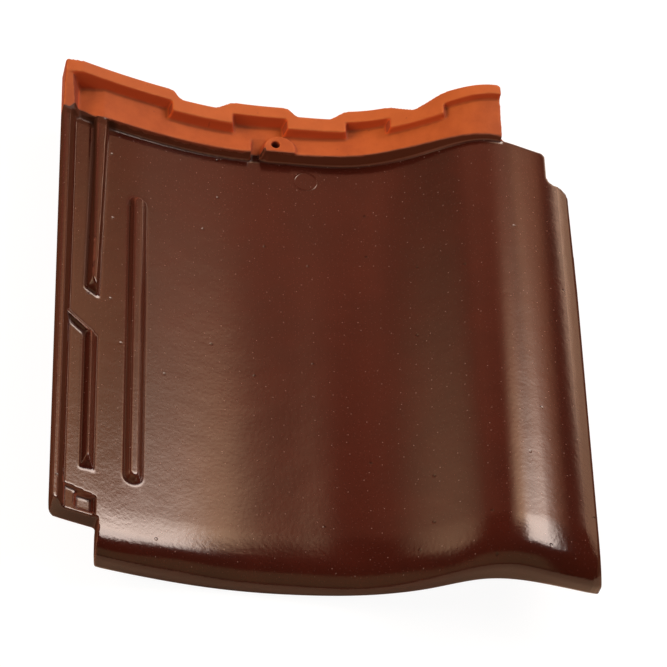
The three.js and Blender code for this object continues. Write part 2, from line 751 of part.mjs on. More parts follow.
const tileGeometry = toGeometry(tile);
tileGeometry.computeBoundingBox();
tileGeometry.translate(
  -(TILE_WIDTH + EDGE_FLARE) / 2,
  -TILE_LENGTH / 2,
  -tileGeometry.boundingBox.min.z,
);
tileGeometry.computeVertexNormals();

const tileMesh = new THREE.Mesh(tileGeometry, glazedClay);
tileMesh.name = 'roof_tile';

const roofTile = new THREE.Group();
roofTile.add(tileMesh);

export default roofTile;
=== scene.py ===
"""A glazed interlocking clay roof tile, seen from above its nose.

The tile is modelled flat, with its pan as a level slab whose glazed face is at height 0, and is then
bent to its cross section. In the flat frame X runs across the tile from the water lock to the roll,
Y runs up it from the nose to the head, and lengths are in millimetres until they are placed.
"""

import math

import bpy
import numpy as np
from mathutils import Matrix, Vector

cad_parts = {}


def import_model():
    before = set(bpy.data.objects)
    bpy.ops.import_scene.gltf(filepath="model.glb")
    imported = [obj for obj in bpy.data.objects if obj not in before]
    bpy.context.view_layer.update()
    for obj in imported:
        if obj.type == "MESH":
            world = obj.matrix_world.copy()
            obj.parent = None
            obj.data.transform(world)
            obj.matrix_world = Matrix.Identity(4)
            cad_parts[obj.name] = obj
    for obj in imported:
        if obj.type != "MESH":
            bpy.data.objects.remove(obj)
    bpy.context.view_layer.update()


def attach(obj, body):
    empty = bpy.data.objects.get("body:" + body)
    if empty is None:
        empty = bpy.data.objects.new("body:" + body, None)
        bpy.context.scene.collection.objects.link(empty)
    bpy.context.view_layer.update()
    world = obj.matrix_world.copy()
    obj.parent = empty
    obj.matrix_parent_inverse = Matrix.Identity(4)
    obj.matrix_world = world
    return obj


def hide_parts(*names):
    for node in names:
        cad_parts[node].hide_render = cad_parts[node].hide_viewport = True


MM = 0.001

# ---- Sizes of the tile, in millimetres ----

TILE_WIDTH = 290
TILE_LENGTH = 316
BODY_THICKNESS = 12
REST_HEIGHT = 16.95            # of the flat frame's zero above the floor
OVERLAP = 1

SECTION = [
    (0, 22), (21, 15.3), (60, 5.4), (100, 0.2), (138, 1.8), (173, 6.8),
    (206, 24), (228, 38.8), (243, 43), (262, 39.5), (290, 32),
]
LIP_DEPTHS = [
    (27.5, 21.3), (60, 19), (100, 17.1), (138, 16.8), (173, 15.2),
    (206, 20.3), (228, 23.2), (243, 24.2), (262, 21.6), (290, 18.6),
]

EDGE_FLARE = 3
EDGE_FLARE_DEPTH = 12
EDGE_FLARE_REACH = 5
EDGE_TAPER = 1.2
EDGE_TAPER_Y = 190

NOSE_RADIUS = 13
NOSE_FALL_Y = 29               # where the face begins to fall to the nose
NOSE_FALLS = [(27.5, 0.0012), (110, 0.0038), (243, 0.0052)]    # its fall, per square millimetre
NOSE_FALL_EASE = 3             # how far left of the pan it dies out
NOSE_DEPTH = 18
LIP_THICKNESS = 9
LIP_EDGE_RADIUS = 2
LIP_END_TAPER = 1.6
LIP_BACK_Y = LIP_THICKNESS + NOSE_DEPTH - BODY_THICKNESS

LOCK_FRONT_Y = 18
LOCK_FRONT_RADIUS = 3
PAN_LEFT_X = 27.5

HEAD_RIGHT_X = 248.5
HEAD_RIGHT_TAPER = 2
FIRST_STEP_Y = 286
SECOND_STEP_X = 276.3
SECOND_STEP_Y = 264.3
CORNER_RADIUS = 5
FIRST_CORNER_RADIUS = 2.5
EDGE_CORNER_RADIUS = 7.5
HEAD_CORNER_RADIUS = 1.5
NOSE_CORNER_RADIUS = 1.5

SHELF_FRONT_Y = 284.5
SHELF_DRAFT = 1
SHELF_RAMP_START_X = 9
SHELF_RAMP_END_X = 23
SHELF_FACETS = 48
SHELF_FRONT_HEIGHTS = [
    (0, 6.2), (60, 6.7), (110, 7.3), (150, 8), (178, 9), (206, 8.2), (228, 5.2), (248.5, 3.5),
]
SHELF_BACK_HEIGHTS = [
    (0, 5.6), (60, 6), (110, 5), (150, 6.4), (178, 7.2), (206, 8.7), (228, 8.6), (248.5, 8.4),
]

STOP_HEIGHT = 13
STOP_BACK_Y = 306
STOP_FRONT_Y = 298.5
STOP_OUTER_Y = 310.2
STOP_DRAFT_HEIGHT = 7
STOP_DRAFT = 1.8
STOP_CORNER_DROP = 3
STOP_RIGHT_SETBACK = 2
STOP_STEP_INSET = 2
STOP_SPANS = [
    (61.8, 100.8, 68.5, 90),
    (129, 166, 136, 156),
    (186.5, 217.5, 200, 202.4),
]

DRAIN_LEFT_X = 111
DRAIN_RIGHT_X = 120.5
DRAIN_RAMP_LENGTH = 13
DRAIN_RAMP_TOP = 6.2

NAIL_X = 124.6
NAIL_Y = 291
NAIL_DIAMETER = 5
NAIL_FACETS = 32
BOSS_X = 127
BOSS_Y = 288
BOSS_DIAMETER = 21
BOSS_HEIGHT = 9
BOSS_DRAFT = 1.5
BOSS_FACETS = 64

RIM_WIDTH = 8.3
RIM_TOP_WIDTH = 4.5
RIM_HEIGHT = 5
RIM_EDGE_CHAMFER = 1.2
RIM_HEAD_WIDTH = 10
RIM_HEAD_HEIGHT = 10
LOCK_EDGE_THICKNESS = 5
LOCK_EDGE_CHAMFER = 4
LOCK_EDGE_BULGE = (1, -9.5)    # where its lower edge rounds off
LOCK_TAPER = 1.3               # the lock's outer edge runs in by this much at the nose

LOCK_RIB_LEFT_X = 17
LOCK_RIB_RIGHT_X = 24.2
UPPER_RIB_TOP = (20.2, 22.6)
UPPER_RIB_HEIGHT = 6
UPPER_RIB_END_Y = 161
UPPER_RIB_SLOPE = 4
UPPER_RIB_SKEW = 4             # its end runs back by this much towards the outer rim
UPPER_RIB_SPREAD = 3.2         # and its right side runs out by this much at the head
UPPER_RIB_LEAN = 2.2           # and the foot of its left side by this much
LOWER_RIB_RIDGE_X = 20.6
LOWER_RIB_HEIGHT = 5
LOWER_RIB_START_Y = 134
LOWER_RIB_END_Y = 45
LOWER_RIB_SLOPE = 7
DIAGONAL_START_Y = 143.5
DIAGONAL_WIDTH = 5.6
DIAGONAL_HEIGHT = 3
DIAGONAL_TUCK = 2              # how far its start reaches into the outer rim

LONG_RIB_LEFT_X = 41
LONG_RIB_WIDTH = 10
LONG_RIB_FOOT_Y = 44
LONG_RIB_HEAD_Y = 239
LONG_RIB_HEIGHT = 4.5
LONG_RIB_FACETS = 12           # of each round end
LONG_RIB_SHOULDERS = [(1.8, 0.75), (0.9, 0.25)]    # insets, and the shares of its height

RECESS_BACK_LEFT_Y = 33
RECESS_BACK_RIGHT_Y = 30
RECESS_RIGHT_X = 26
RECESS_DEPTH = 2
RECESS_RISE = 0.6              # its floor rises by this much to the front
POCKET_LEFT_X = 15
POCKET_RIGHT_X = 23.5
POCKET_FLANK_X = 26
POCKET_FRONT_Y = 20.5
POCKET_BACK_Y = 30
POCKET_DEPTH = 3.8

COVER_EDGE_X = 282
COVER_EDGE_DROP = 5
COVER_RIB_X = 264.5
COVER_RIB_WIDTH = 4
COVER_RIB_DROP = 3.5
COVER_START_Y = 20
COVER_END_Y = 258.5

NIB_WIDTH = 26
NIB_LENGTH = 12
NIB_FACE_Y = 298
NIB_TAPER = 2
NIB_LEFT_EDGES = (33, 180)
NIB_CUTS = 12

RING_X = 143.2                 # the round mark of an ejector, under the glaze
RING_Y = 272.3
RING_RADIUS = 6.4

# ---- How finely the fired surface is made ----

GRAIN = 0.8                    # the width of a facet before thinning
SOFTENING_PASSES = 2
FACES_KEPT = 186000
EDGE_BEND = 450                # the bend of a sharp edge, per metre
EDGE_BLUR_PASSES = 2


# ---- Working with objects ----

NEAR = 1e-3                    # two lengths this close count as the same, in millimetres


def select_only(*objects):
    """Selects these objects alone and makes the last one active."""
    bpy.ops.object.select_all(action="DESELECT")
    for obj in objects:
        obj.select_set(True)
    bpy.context.view_layer.objects.active = objects[-1]


def finish_modifier(obj, kind, **settings):
    """Adds a modifier with these settings and applies it."""
    modifier = obj.modifiers.new(kind.title(), kind)
    for name, value in settings.items():
        setattr(modifier, name, value)
    select_only(obj)
    bpy.ops.object.modifier_apply(modifier=modifier.name)


def cut_away(obj, *cutters):
    for cutter in cutters:
        finish_modifier(obj, "BOOLEAN", operation="DIFFERENCE", object=cutter, solver="EXACT")


def keep_within(obj, limit):
    finish_modifier(obj, "BOOLEAN", operation="INTERSECT", object=limit, solver="EXACT")


def discard(*objects):
    for obj in objects:
        bpy.data.objects.remove(obj)


def open_for_editing(obj, mode="EDGE"):
    """Leaves the mesh with nothing selected, ready for edges or faces to be selected in code."""
    select_only(obj)
    bpy.ops.object.mode_set(mode="EDIT")
    bpy.ops.mesh.select_mode(type=mode)
    bpy.ops.mesh.select_all(action="DESELECT")
    bpy.ops.object.mode_set(mode="OBJECT")


def select_every_face(obj):
    open_for_editing(obj, "FACE")
    for face in obj.data.polygons:
        face.select = True


def edit_selection(operator, **settings):
    """Runs an edit-mode operator on what is selected in the mesh."""
    bpy.ops.object.mode_set(mode="EDIT")
    operator(**settings)
    bpy.ops.object.mode_set(mode="OBJECT")


def is_near(a, b):
    return abs(a - b) < NEAR


# ---- Outlines drawn out into solids ----

AXES = {
    "X": lambda a, b, along: (along, a, b),
    "Y": lambda a, b, along: (a, along, b),
    "Z": lambda a, b, along: (a, b, along),
}


def draw_out(name, outline, axis, start, end):
    """An outline, given in the other two axes, drawn out along an axis from start to end."""
    place = AXES[axis]
    bpy.ops.object.select_all(action="DESELECT")
    bpy.ops.mesh.primitive_circle_add(vertices=len(outline), radius=1, fill_type="NGON")
    obj = bpy.context.active_object
    obj.name = name
    for vertex, (a, b) in zip(obj.data.vertices, outline):
        vertex.co = place(a, b, start)
    bpy.ops.object.mode_set(mode="EDIT")
    bpy.ops.mesh.select_all(action="SELECT")
    bpy.ops.mesh.extrude_region_move(
        TRANSFORM_OT_translate={"value": place(0, 0, end - start)}
    )
    bpy.ops.mesh.select_all(action="SELECT")
    bpy.ops.mesh.normals_make_consistent(inside=False)
    bpy.ops.object.mode_set(mode="OBJECT")
    return obj


def round_edges(obj, along, places, radius, facets):
    """Bevels the edges that run along an axis at these places of the other two axes."""
    index = "XYZ".index(along)
    others = [i for i in range(3) if i != index]
    open_for_editing(obj)
    points = obj.data.vertices
    for edge in obj.data.edges:
        ends = [points[i].co for i in edge.vertices]
        if is_near(ends[0][index], ends[1][index]):
            continue
        edge.select = any(
            all(is_near(end[axis], value) for end in ends for axis, value in zip(others, place))
            for place in places
        )
    edit_selection(
        bpy.ops.mesh.bevel,
        offset=radius,
        segments=facets,
        affect="EDGES",
        clamp_overlap=True,
    )


def box(name, low, high):
    """A block between two corners."""
    return draw_out(
        name,
        [(low[0], low[1]), (high[0], low[1]), (high[0], high[1]), (low[0], high[1])],
        "Z",
        low[2],
        high[2],
    )


def face_at(obj, axis, value):
    """Selects the faces that lie flat at this value of an axis."""
    index = "XYZ".index(axis)
    open_for_editing(obj, "FACE")
    points = obj.data.vertices
    for face in obj.data.polygons:
        face.select = all(is_near(points[i].co[index], value) for i in face.vertices)


def move_points(obj, inside, move):
    """Moves the points of a mesh that pass a test."""
    for vertex in obj.data.vertices:
        if inside(vertex.co):
            vertex.co += Vector(move)


# ---- Curves through stations ----

class Curve:
    """A natural cubic spline through stations of (position, value)."""

    def __init__(self, stations):
        self.at = np.array([s[0] for s in stations], float)
        self.value = np.array([s[1] for s in stations], float)
        gap = np.diff(self.at)
        slope = np.diff(self.value) / gap
        count = len(stations)
        system = np.eye(count)
        target = np.zeros(count)
        for i in range(1, count - 1):
            system[i, i - 1] = gap[i - 1]
            system[i, i] = 2 * (gap[i - 1] + gap[i])
            system[i, i + 1] = gap[i]
            target[i] = 6 * (slope[i] - slope[i - 1])
        self.bend = np.linalg.solve(system, target)

    def __call__(self, position):
        position = np.asarray(position, float)
        i = np.clip(np.searchsorted(self.at, position) - 1, 0, len(self.at) - 2)
        span = self.at[i + 1] - self.at[i]
        a = (self.at[i + 1] - position) / span
        b = (position - self.at[i]) / span
        curve = (a**3 - a) * self.bend[i] + (b**3 - b) * self.bend[i + 1]
        return a * self.value[i] + b * self.value[i + 1] + curve * span**2 / 6


section_height = Curve(SECTION)
lip_depth = Curve(LIP_DEPTHS)
shelf_front_height = Curve(SHELF_FRONT_HEIGHTS)
shelf_back_height = Curve(SHELF_BACK_HEIGHTS)


def shelf_height(x, y):
    back = (y - SHELF_FRONT_Y) / (STOP_BACK_Y - SHELF_FRONT_Y)
    height = (1 - back) * shelf_front_height(x) + back * shelf_back_height(x)
    ramp = (x - SHELF_RAMP_START_X) / (SHELF_RAMP_END_X - SHELF_RAMP_START_X)
    return float(height) * min(max(ramp, 0), 1)


# ---- The flat tile ----

def plan_limit():
    """The tile's plan outline, which every upright edge is cut to.

    Going round from the lock's front corner, it steps in twice beside the roll's head, and its head edge
    follows the steps of the water stop. Steps too narrow for their rounding stay sharp.
    """
    corners = [
        (0, LOCK_FRONT_Y),
        (PAN_LEFT_X, LOCK_FRONT_Y),
        (PAN_LEFT_X, 0),
        (TILE_WIDTH, 0),
        (TILE_WIDTH, EDGE_TAPER_Y),
        (TILE_WIDTH - EDGE_TAPER, SECOND_STEP_Y),
        (SECOND_STEP_X, SECOND_STEP_Y),
        (SECOND_STEP_X, FIRST_STEP_Y),
        (HEAD_RIGHT_X, FIRST_STEP_Y),
        (HEAD_RIGHT_X - HEAD_RIGHT_TAPER, TILE_LENGTH),
    ]
    right_step, second_step, first_step, shelf_end, head_right = corners[5:]
    head_left = (0, TILE_LENGTH)
    rounded = []
    for inner_left, inner_right, outer_left, outer_right in reversed(STOP_SPANS):
        right_foot = (inner_right - STOP_STEP_INSET, TILE_LENGTH)
        left_foot = (inner_left + STOP_STEP_INSET, TILE_LENGTH)
        notch = [(outer_right, STOP_OUTER_Y), (outer_left, STOP_OUTER_Y)]
        corners += [right_foot, *notch, left_foot]
        rounded += [right_foot, left_foot]
        if outer_right - outer_left > 2 * HEAD_CORNER_RADIUS:
            rounded += notch
    corners.append(head_left)
    plan = draw_out("plan", corners, "Z", -2 * NOSE_DEPTH, 2 * STOP_HEIGHT)
    for places, radius, facets in (
        ([(0, LOCK_FRONT_Y)], LOCK_FRONT_RADIUS, 4),
        ([(PAN_LEFT_X, 0), (TILE_WIDTH, 0)], NOSE_CORNER_RADIUS, 3),
        ([second_step], CORNER_RADIUS, 6),
        ([first_step], FIRST_CORNER_RADIUS, 4),
        ([right_step], EDGE_CORNER_RADIUS, 6),
        ([shelf_end], CORNER_RADIUS / 2, 4),
        ([head_right, head_left], HEAD_CORNER_RADIUS, 3),
        (rounded, HEAD_CORNER_RADIUS, 3),
    ):
        round_edges(plan, "Z", places, radius, facets)
    return plan


def slab():
    """The level body with its rounded nose and hanging lip."""
    side = [
        (TILE_LENGTH + OVERLAP, -BODY_THICKNESS),
        (TILE_LENGTH + OVERLAP, 0),
        (0, 0),
        (0, -NOSE_DEPTH),
        (LIP_THICKNESS, -NOSE_DEPTH),
        (LIP_BACK_Y, -BODY_THICKNESS),
    ]
    body = draw_out("slab", side, "X", -OVERLAP, TILE_WIDTH + OVERLAP)
    round_edges(body, "X", [(0, 0)], NOSE_RADIUS, 16)
    round_edges(body, "X", [(0, -NOSE_DEPTH)], LIP_EDGE_RADIUS, 3)
    return body


def drain_recess():
    """What the lock's nose end loses: a basin and a deeper pocket in it."""
    plan = [
        (RIM_WIDTH, LOCK_FRONT_Y - OVERLAP),
        (RECESS_RIGHT_X, LOCK_FRONT_Y - OVERLAP),
        (RECESS_RIGHT_X, RECESS_BACK_RIGHT_Y),
        (RIM_WIDTH, RECESS_BACK_LEFT_Y),
    ]
    side = [
        (LOCK_FRONT_Y - OVERLAP, RECESS_RISE - RECESS_DEPTH),
        (RECESS_BACK_LEFT_Y + OVERLAP, -RECESS_DEPTH),
        (RECESS_BACK_LEFT_Y + OVERLAP, RIM_HEIGHT),
        (LOCK_FRONT_Y - OVERLAP, RIM_HEIGHT),
    ]
    basin = draw_out("basin", plan, "Z", -BODY_THICKNESS, RIM_HEIGHT)
    rise = draw_out("rise", side, "X", 0, PAN_LEFT_X)
    keep_within(basin, rise)
    discard(rise)
    across = [
        (POCKET_LEFT_X, -POCKET_DEPTH),
        (POCKET_RIGHT_X, -POCKET_DEPTH),
        (POCKET_FLANK_X, 0),
        (POCKET_FLANK_X, RIM_HEIGHT),
        (POCKET_LEFT_X, RIM_HEIGHT),
    ]
    pocket = draw_out("pocket", across, "Y", POCKET_FRONT_Y, POCKET_BACK_Y)
    return basin, pocket


def lock_undercut():
    outline = [
        (-2 * OVERLAP, -LOCK_EDGE_THICKNESS),
        (0, -LOCK_EDGE_THICKNESS),
        LOCK_EDGE_BULGE,
        (LOCK_EDGE_CHAMFER, -BODY_THICKNESS),
        (LOCK_EDGE_CHAMFER, -BODY_THICKNESS - OVERLAP),
        (-2 * OVERLAP, -BODY_THICKNESS - OVERLAP),
    ]
    return draw_out("undercut", outline, "Y", 0, TILE_LENGTH + 2 * OVERLAP)


def nail_bore():
    bpy.ops.object.select_all(action="DESELECT")
    bpy.ops.mesh.primitive_cylinder_add(
        vertices=NAIL_FACETS,
        radius=NAIL_DIAMETER / 2,
        depth=4 * BODY_THICKNESS,
        location=(NAIL_X, NAIL_Y, 0),
    )
    bpy.ops.object.transform_apply()
    return bpy.context.active_object


def head_shelf():
    """The raised strip across the head, whose top follows its own heights."""
    width = HEAD_RIGHT_X - SHELF_RAMP_START_X
    front = SHELF_FRONT_Y
    back = TILE_LENGTH + OVERLAP
    bpy.ops.object.select_all(action="DESELECT")
    bpy.ops.mesh.primitive_grid_add(x_subdivisions=SHELF_FACETS, y_subdivisions=1, size=1)
    shelf = bpy.context.active_object
    shelf.name = "shelf"
    for vertex in shelf.data.vertices:
        vertex.co.x = SHELF_RAMP_START_X + (vertex.co.x + 0.5) * width
        vertex.co.y = front if vertex.co.y < 0 else back
        vertex.co.z = -OVERLAP
    bpy.ops.object.mode_set(mode="EDIT")
    bpy.ops.mesh.select_all(action="SELECT")
    bpy.ops.mesh.extrude_region_move(TRANSFORM_OT_translate={"value": (0, 0, 2 * OVERLAP)})
    bpy.ops.mesh.select_all(action="SELECT")
    bpy.ops.mesh.normals_make_consistent(inside=False)
    bpy.ops.object.mode_set(mode="OBJECT")
    for vertex in shelf.data.vertices:
        if vertex.co.z > 0:
            vertex.co.y = max(vertex.co.y, front + SHELF_DRAFT)
            vertex.co.z = shelf_height(vertex.co.x, vertex.co.y)
    select_every_face(shelf)
    edit_selection(bpy.ops.mesh.quads_convert_to_tris)
    return shelf


def drain_gap():
    side = [
        (SHELF_FRONT_Y - OVERLAP, 0),
        (SHELF_FRONT_Y, 0),
        (SHELF_FRONT_Y + DRAIN_RAMP_LENGTH, DRAIN_RAMP_TOP),
        (SHELF_FRONT_Y + DRAIN_RAMP_LENGTH, STOP_HEIGHT),
        (SHELF_FRONT_Y - OVERLAP, STOP_HEIGHT),
    ]
    return draw_out("gap", side, "X", DRAIN_LEFT_X, DRAIN_RIGHT_X)


def nail_boss():
    height = BOSS_HEIGHT + OVERLAP
    bpy.ops.object.select_all(action="DESELECT")
    bpy.ops.mesh.primitive_cone_add(
        vertices=BOSS_FACETS,
        radius1=BOSS_DIAMETER / 2,
        radius2=BOSS_DIAMETER / 2 - BOSS_DRAFT,
        depth=height,
        location=(BOSS_X, BOSS_Y, height / 2 - OVERLAP),
    )
    bpy.ops.object.transform_apply()
    boss = bpy.context.active_object
    boss.name = "boss"
    behind_front = box(
        "behind front",
        (0, SHELF_FRONT_Y + SHELF_DRAFT, -2 * OVERLAP),
        (TILE_WIDTH, TILE_LENGTH, STOP_HEIGHT),
    )
    keep_within(boss, behind_front)
    discard(behind_front)
    return boss


def water_stop():
    """The rim along the head, which steps back and forth and whose inner walls lean back."""
    beyond = STOP_DRAFT + OVERLAP
    wall = []
    for inner_left, inner_right, _, _ in STOP_SPANS:
        wall += [
            (inner_left, STOP_BACK_Y),
            (inner_left, STOP_FRONT_Y),
            (inner_right, STOP_FRONT_Y),
            (inner_right, STOP_BACK_Y),
        ]
    outline = wall + [
        (HEAD_RIGHT_X + beyond, STOP_BACK_Y + STOP_RIGHT_SETBACK),
        (HEAD_RIGHT_X + beyond, TILE_LENGTH + beyond),
        (-beyond, TILE_LENGTH + beyond),
        (-beyond, STOP_BACK_Y),
    ]
    foot = STOP_HEIGHT - STOP_DRAFT_HEIGHT
    stop = draw_out("stop", outline, "Z", -OVERLAP, foot)
    face_at(stop, "Z", foot)
    edit_selection(bpy.ops.mesh.inset, thickness=STOP_DRAFT, depth=STOP_DRAFT_HEIGHT)
    cross = draw_out(
        "cross",
        [
            (-OVERLAP, -2 * OVERLAP),
            (TILE_WIDTH, -2 * OVERLAP),
            (TILE_WIDTH, STOP_HEIGHT),
            (RIM_HEAD_WIDTH, STOP_HEIGHT),
            (-OVERLAP, STOP_HEIGHT - STOP_CORNER_DROP),
        ],
        "Y",
        0,
        TILE_LENGTH + 2 * beyond,
    )
    keep_within(stop, cross)
    discard(cross)
    return stop


def rim_bar(name, width, height):
    outline = [
        (-OVERLAP, -OVERLAP),
        (width, -OVERLAP),
        (width, 0),
        (RIM_TOP_WIDTH, height),
        (RIM_EDGE_CHAMFER, height),
        (0, height - RIM_EDGE_CHAMFER),
        (-OVERLAP, height - RIM_EDGE_CHAMFER),
    ]
    return draw_out(name, outline, "Y", 0, TILE_LENGTH + OVERLAP)


def outer_rim():
    """The rim along the lock, and its head end that rises to the water stop."""
    rise = draw_out(
        "rise",
        [
            (SHELF_FRONT_Y, -OVERLAP),
            (SHELF_FRONT_Y, RIM_HEIGHT),
            (STOP_BACK_Y, RIM_HEAD_HEIGHT),
            (TILE_LENGTH + OVERLAP, RIM_HEAD_HEIGHT),
            (TILE_LENGTH + OVERLAP, -OVERLAP),
        ],
        "X",
        -OVERLAP,
        RIM_HEAD_WIDTH,
    )
    head = rim_bar("rim head", RIM_HEAD_WIDTH, RIM_HEAD_HEIGHT)
    keep_within(head, rise)
    discard(rise)
    return rim_bar("rim", RIM_WIDTH, RIM_HEIGHT), head


def lock_rib(name, tops, height, end, start, slope):
    """A rib in the lock that ends towards the nose in a slope."""
    outline = [(LOCK_RIB_LEFT_X, -OVERLAP), (LOCK_RIB_RIGHT_X, -OVERLAP), (LOCK_RIB_RIGHT_X, 0)]
    outline += [(top, height) for top in sorted(tops, reverse=True)]
    outline.append((LOCK_RIB_LEFT_X, 0))
    rib = draw_out(name, outline, "Y", end, start)
    move_points(rib, lambda p: is_near(p.y, end) and is_near(p.z, height), (0, slope, 0))
    return rib


def upper_rib():
    """The rib beside the pan, which widens towards the head and ends in a skew slope."""
    rib = lock_rib("upper rib", UPPER_RIB_TOP, UPPER_RIB_HEIGHT, UPPER_RIB_END_Y,
                   SHELF_FRONT_Y + SHELF_DRAFT, UPPER_RIB_SLOPE)
    middle = sum(UPPER_RIB_TOP) / 2
    move_points(rib, lambda p: p.y < UPPER_RIB_END_Y + 2 * UPPER_RIB_SLOPE and p.x < middle,
                (0, UPPER_RIB_SKEW, 0))
    move_points(rib, lambda p: p.y > SHELF_FRONT_Y and p.x > middle, (UPPER_RIB_SPREAD, 0, 0))
    move_points(rib, lambda p: p.y > SHELF_FRONT_Y and is_near(p.x, LOCK_RIB_LEFT_X),
                (UPPER_RIB_LEAN, 0, 0))
    return rib


def diagonal_rib():
    """The rib that turns water out of the upper channel."""
    start = Vector((RIM_WIDTH - DIAGONAL_TUCK, DIAGONAL_START_Y, 0))
    end = Vector((LOWER_RIB_RIDGE_X, LOWER_RIB_START_Y, 0))
    along = end - start
    half = DIAGONAL_WIDTH / 2
    outline = [
        (-half, -OVERLAP), (half, -OVERLAP), (half, 0), (0, DIAGONAL_HEIGHT), (-half, 0),
    ]
    rib = draw_out("diagonal", outline, "Y", 0, along.length)
    turn = math.atan2(-along.x, along.y)
    rib.data.transform(Matrix.Translation(start) @ Matrix.Rotation(turn, 4, "Z"))
    return rib


def long_rib():
    """The long rib beside the lock, with round ends and a soft crown."""
    radius = LONG_RIB_WIDTH / 2
    middle = LONG_RIB_LEFT_X + radius
    turns = [math.pi * i / LONG_RIB_FACETS for i in range(LONG_RIB_FACETS + 1)]
    head = [
        (middle + radius * math.cos(t), LONG_RIB_HEAD_Y - radius + radius * math.sin(t))
        for t in turns
    ]
    foot = [
        (middle - radius * math.cos(t), LONG_RIB_FOOT_Y + radius - radius * math.sin(t))
        for t in turns
    ]
    rib = draw_out("long rib", head + foot, "Z", -OVERLAP, 0)
    face_at(rib, "Z", 0)
    for inset, share in LONG_RIB_SHOULDERS:
        edit_selection(bpy.ops.mesh.inset, thickness=inset, depth=share * LONG_RIB_HEIGHT)
    return rib


def cover_ribs():
    """The ribs under the roll that hook over the next tile's lock."""
    top = -BODY_THICKNESS / 2
    edge = box(
        "cover edge",
        (COVER_EDGE_X, COVER_START_Y, -BODY_THICKNESS - COVER_EDGE_DROP),
        (TILE_WIDTH - EDGE_TAPER, COVER_END_Y, top),
    )
    inner = box(
        "cover rib",
        (COVER_RIB_X, COVER_START_Y, -BODY_THICKNESS - COVER_RIB_DROP),
        (COVER_RIB_X + COVER_RIB_WIDTH, COVER_END_Y, top),
    )
    return edge, inner


def nib(left):
    """A nib whose foot is level once the tile is bent."""
    foot = -REST_HEIGHT
    top = float(section_height(left + NIB_WIDTH / 2)) - BODY_THICKNESS / 2
    block = box("nib", (left, NIB_FACE_Y, foot), (left + NIB_WIDTH, NIB_FACE_Y + NIB_LENGTH, top))
    for vertex in block.data.vertices:
        if is_near(vertex.co.z, foot):
            side = 1 if vertex.co.x < left + NIB_WIDTH / 2 else -1
            vertex.co.x += side * NIB_TAPER
            if vertex.co.y > NIB_FACE_Y + NIB_LENGTH / 2:
                vertex.co.y -= NIB_TAPER
    select_every_face(block)
    edit_selection(bpy.ops.mesh.subdivide, number_cuts=NIB_CUTS)
    for vertex in block.data.vertices:
        vertex.co.z -= float(section_height(vertex.co.x))
    return block


def flat_tile():
    """Every form of the flat tile, joined into one closed skin."""
    plan = plan_limit()
    bore = nail_bore()
    basin, pocket = drain_recess()
    undercut = lock_undercut()
    gap = drain_gap()
    body = slab()
    keep_within(body, plan)
    cut_away(body, basin, pocket, undercut, bore)
    shelf = head_shelf()
    keep_within(shelf, plan)
    cut_away(shelf, gap, bore)
    boss = nail_boss()
    cut_away(boss, bore)
    stop = water_stop()
    keep_within(stop, plan)
    rim, rim_head = outer_rim()
    keep_within(rim, plan)
    keep_within(rim_head, plan)
    forms = [
        shelf, boss, stop, rim, rim_head,
        upper_rib(),
        lock_rib("lower rib", [LOWER_RIB_RIDGE_X], LOWER_RIB_HEIGHT, LOWER_RIB_END_Y,
                 LOWER_RIB_START_Y, LOWER_RIB_SLOPE),
        diagonal_rib(),
        long_rib(),
        *cover_ribs(),
        *[nib(left) for left in NIB_LEFT_EDGES],
        body,
    ]
    discard(plan, bore, basin, pocket, undercut, gap)
    select_only(*forms)
    bpy.ops.object.join()
    tile = bpy.context.active_object
    tile.name = "glazed_tile"
    grain = GRAIN
    finish_modifier(tile, "REMESH", mode="VOXEL", voxel_size=grain, adaptivity=0)
    finish_modifier(tile, "SMOOTH", factor=0.5, iterations=SOFTENING_PASSES)
    return tile


# ---- Bending and placing ----

def read_points(obj):
    points = np.empty(len(obj.data.vertices) * 3)
    obj.data.vertices.foreach_get("co", points)
    return points.reshape(-1, 3)


def write_points(obj, points):
    obj.data.vertices.foreach_set("co", points.ravel())
    obj.data.update()


def nose_fall(x, y, z):
    """How far the glazed face has fallen before it rounds over the nose."""
    bowed = np.clip(NOSE_FALL_Y - np.maximum(y, NOSE_RADIUS), 0, None)
    straight = np.clip(NOSE_RADIUS - y, 0, None)
    steepness = np.interp(x, *zip(*NOSE_FALLS))
    fall = steepness * (bowed**2 + 2 * bowed * straight)
    fall *= np.clip(1 + z / BODY_THICKNESS, 0, 1)
    return fall * np.clip((x - PAN_LEFT_X + NOSE_FALL_EASE) / NOSE_FALL_EASE, 0, 1)


def bend_and_place(tile):
    """Draws the lip to its depth, flares the right edge, bends the tile and places it."""
    x, y, z = read_points(tile).T
    z = z - nose_fall(x, y, z)
    share = np.clip((-z - BODY_THICKNESS) / (NOSE_DEPTH - BODY_THICKNESS), 0, None)
    share[y > LIP_BACK_Y + OVERLAP] = 0
    height = z - share * (lip_depth(x) - NOSE_DEPTH)
    left_end = np.clip(1 - (x - PAN_LEFT_X) / EDGE_FLARE_REACH, 0, 1)
    right_end = np.clip(1 - (TILE_WIDTH - x) / EDGE_FLARE_REACH, 0, None)
    across = x + share * LIP_END_TAPER * left_end
    across += right_end * EDGE_FLARE * np.clip(-z / EDGE_FLARE_DEPTH, 0, 1)
    across += LOCK_TAPER * (1 - y / TILE_LENGTH) * np.clip(1 - x / RIM_WIDTH, 0, 1)
    placed = np.stack([
        across - (TILE_WIDTH + EDGE_FLARE) / 2,
        y - TILE_LENGTH / 2,
        height + section_height(x) + REST_HEIGHT,
    ], axis=1)
    placed[:, 2] = np.maximum(placed[:, 2], 0)
    write_points(tile, placed * MM)


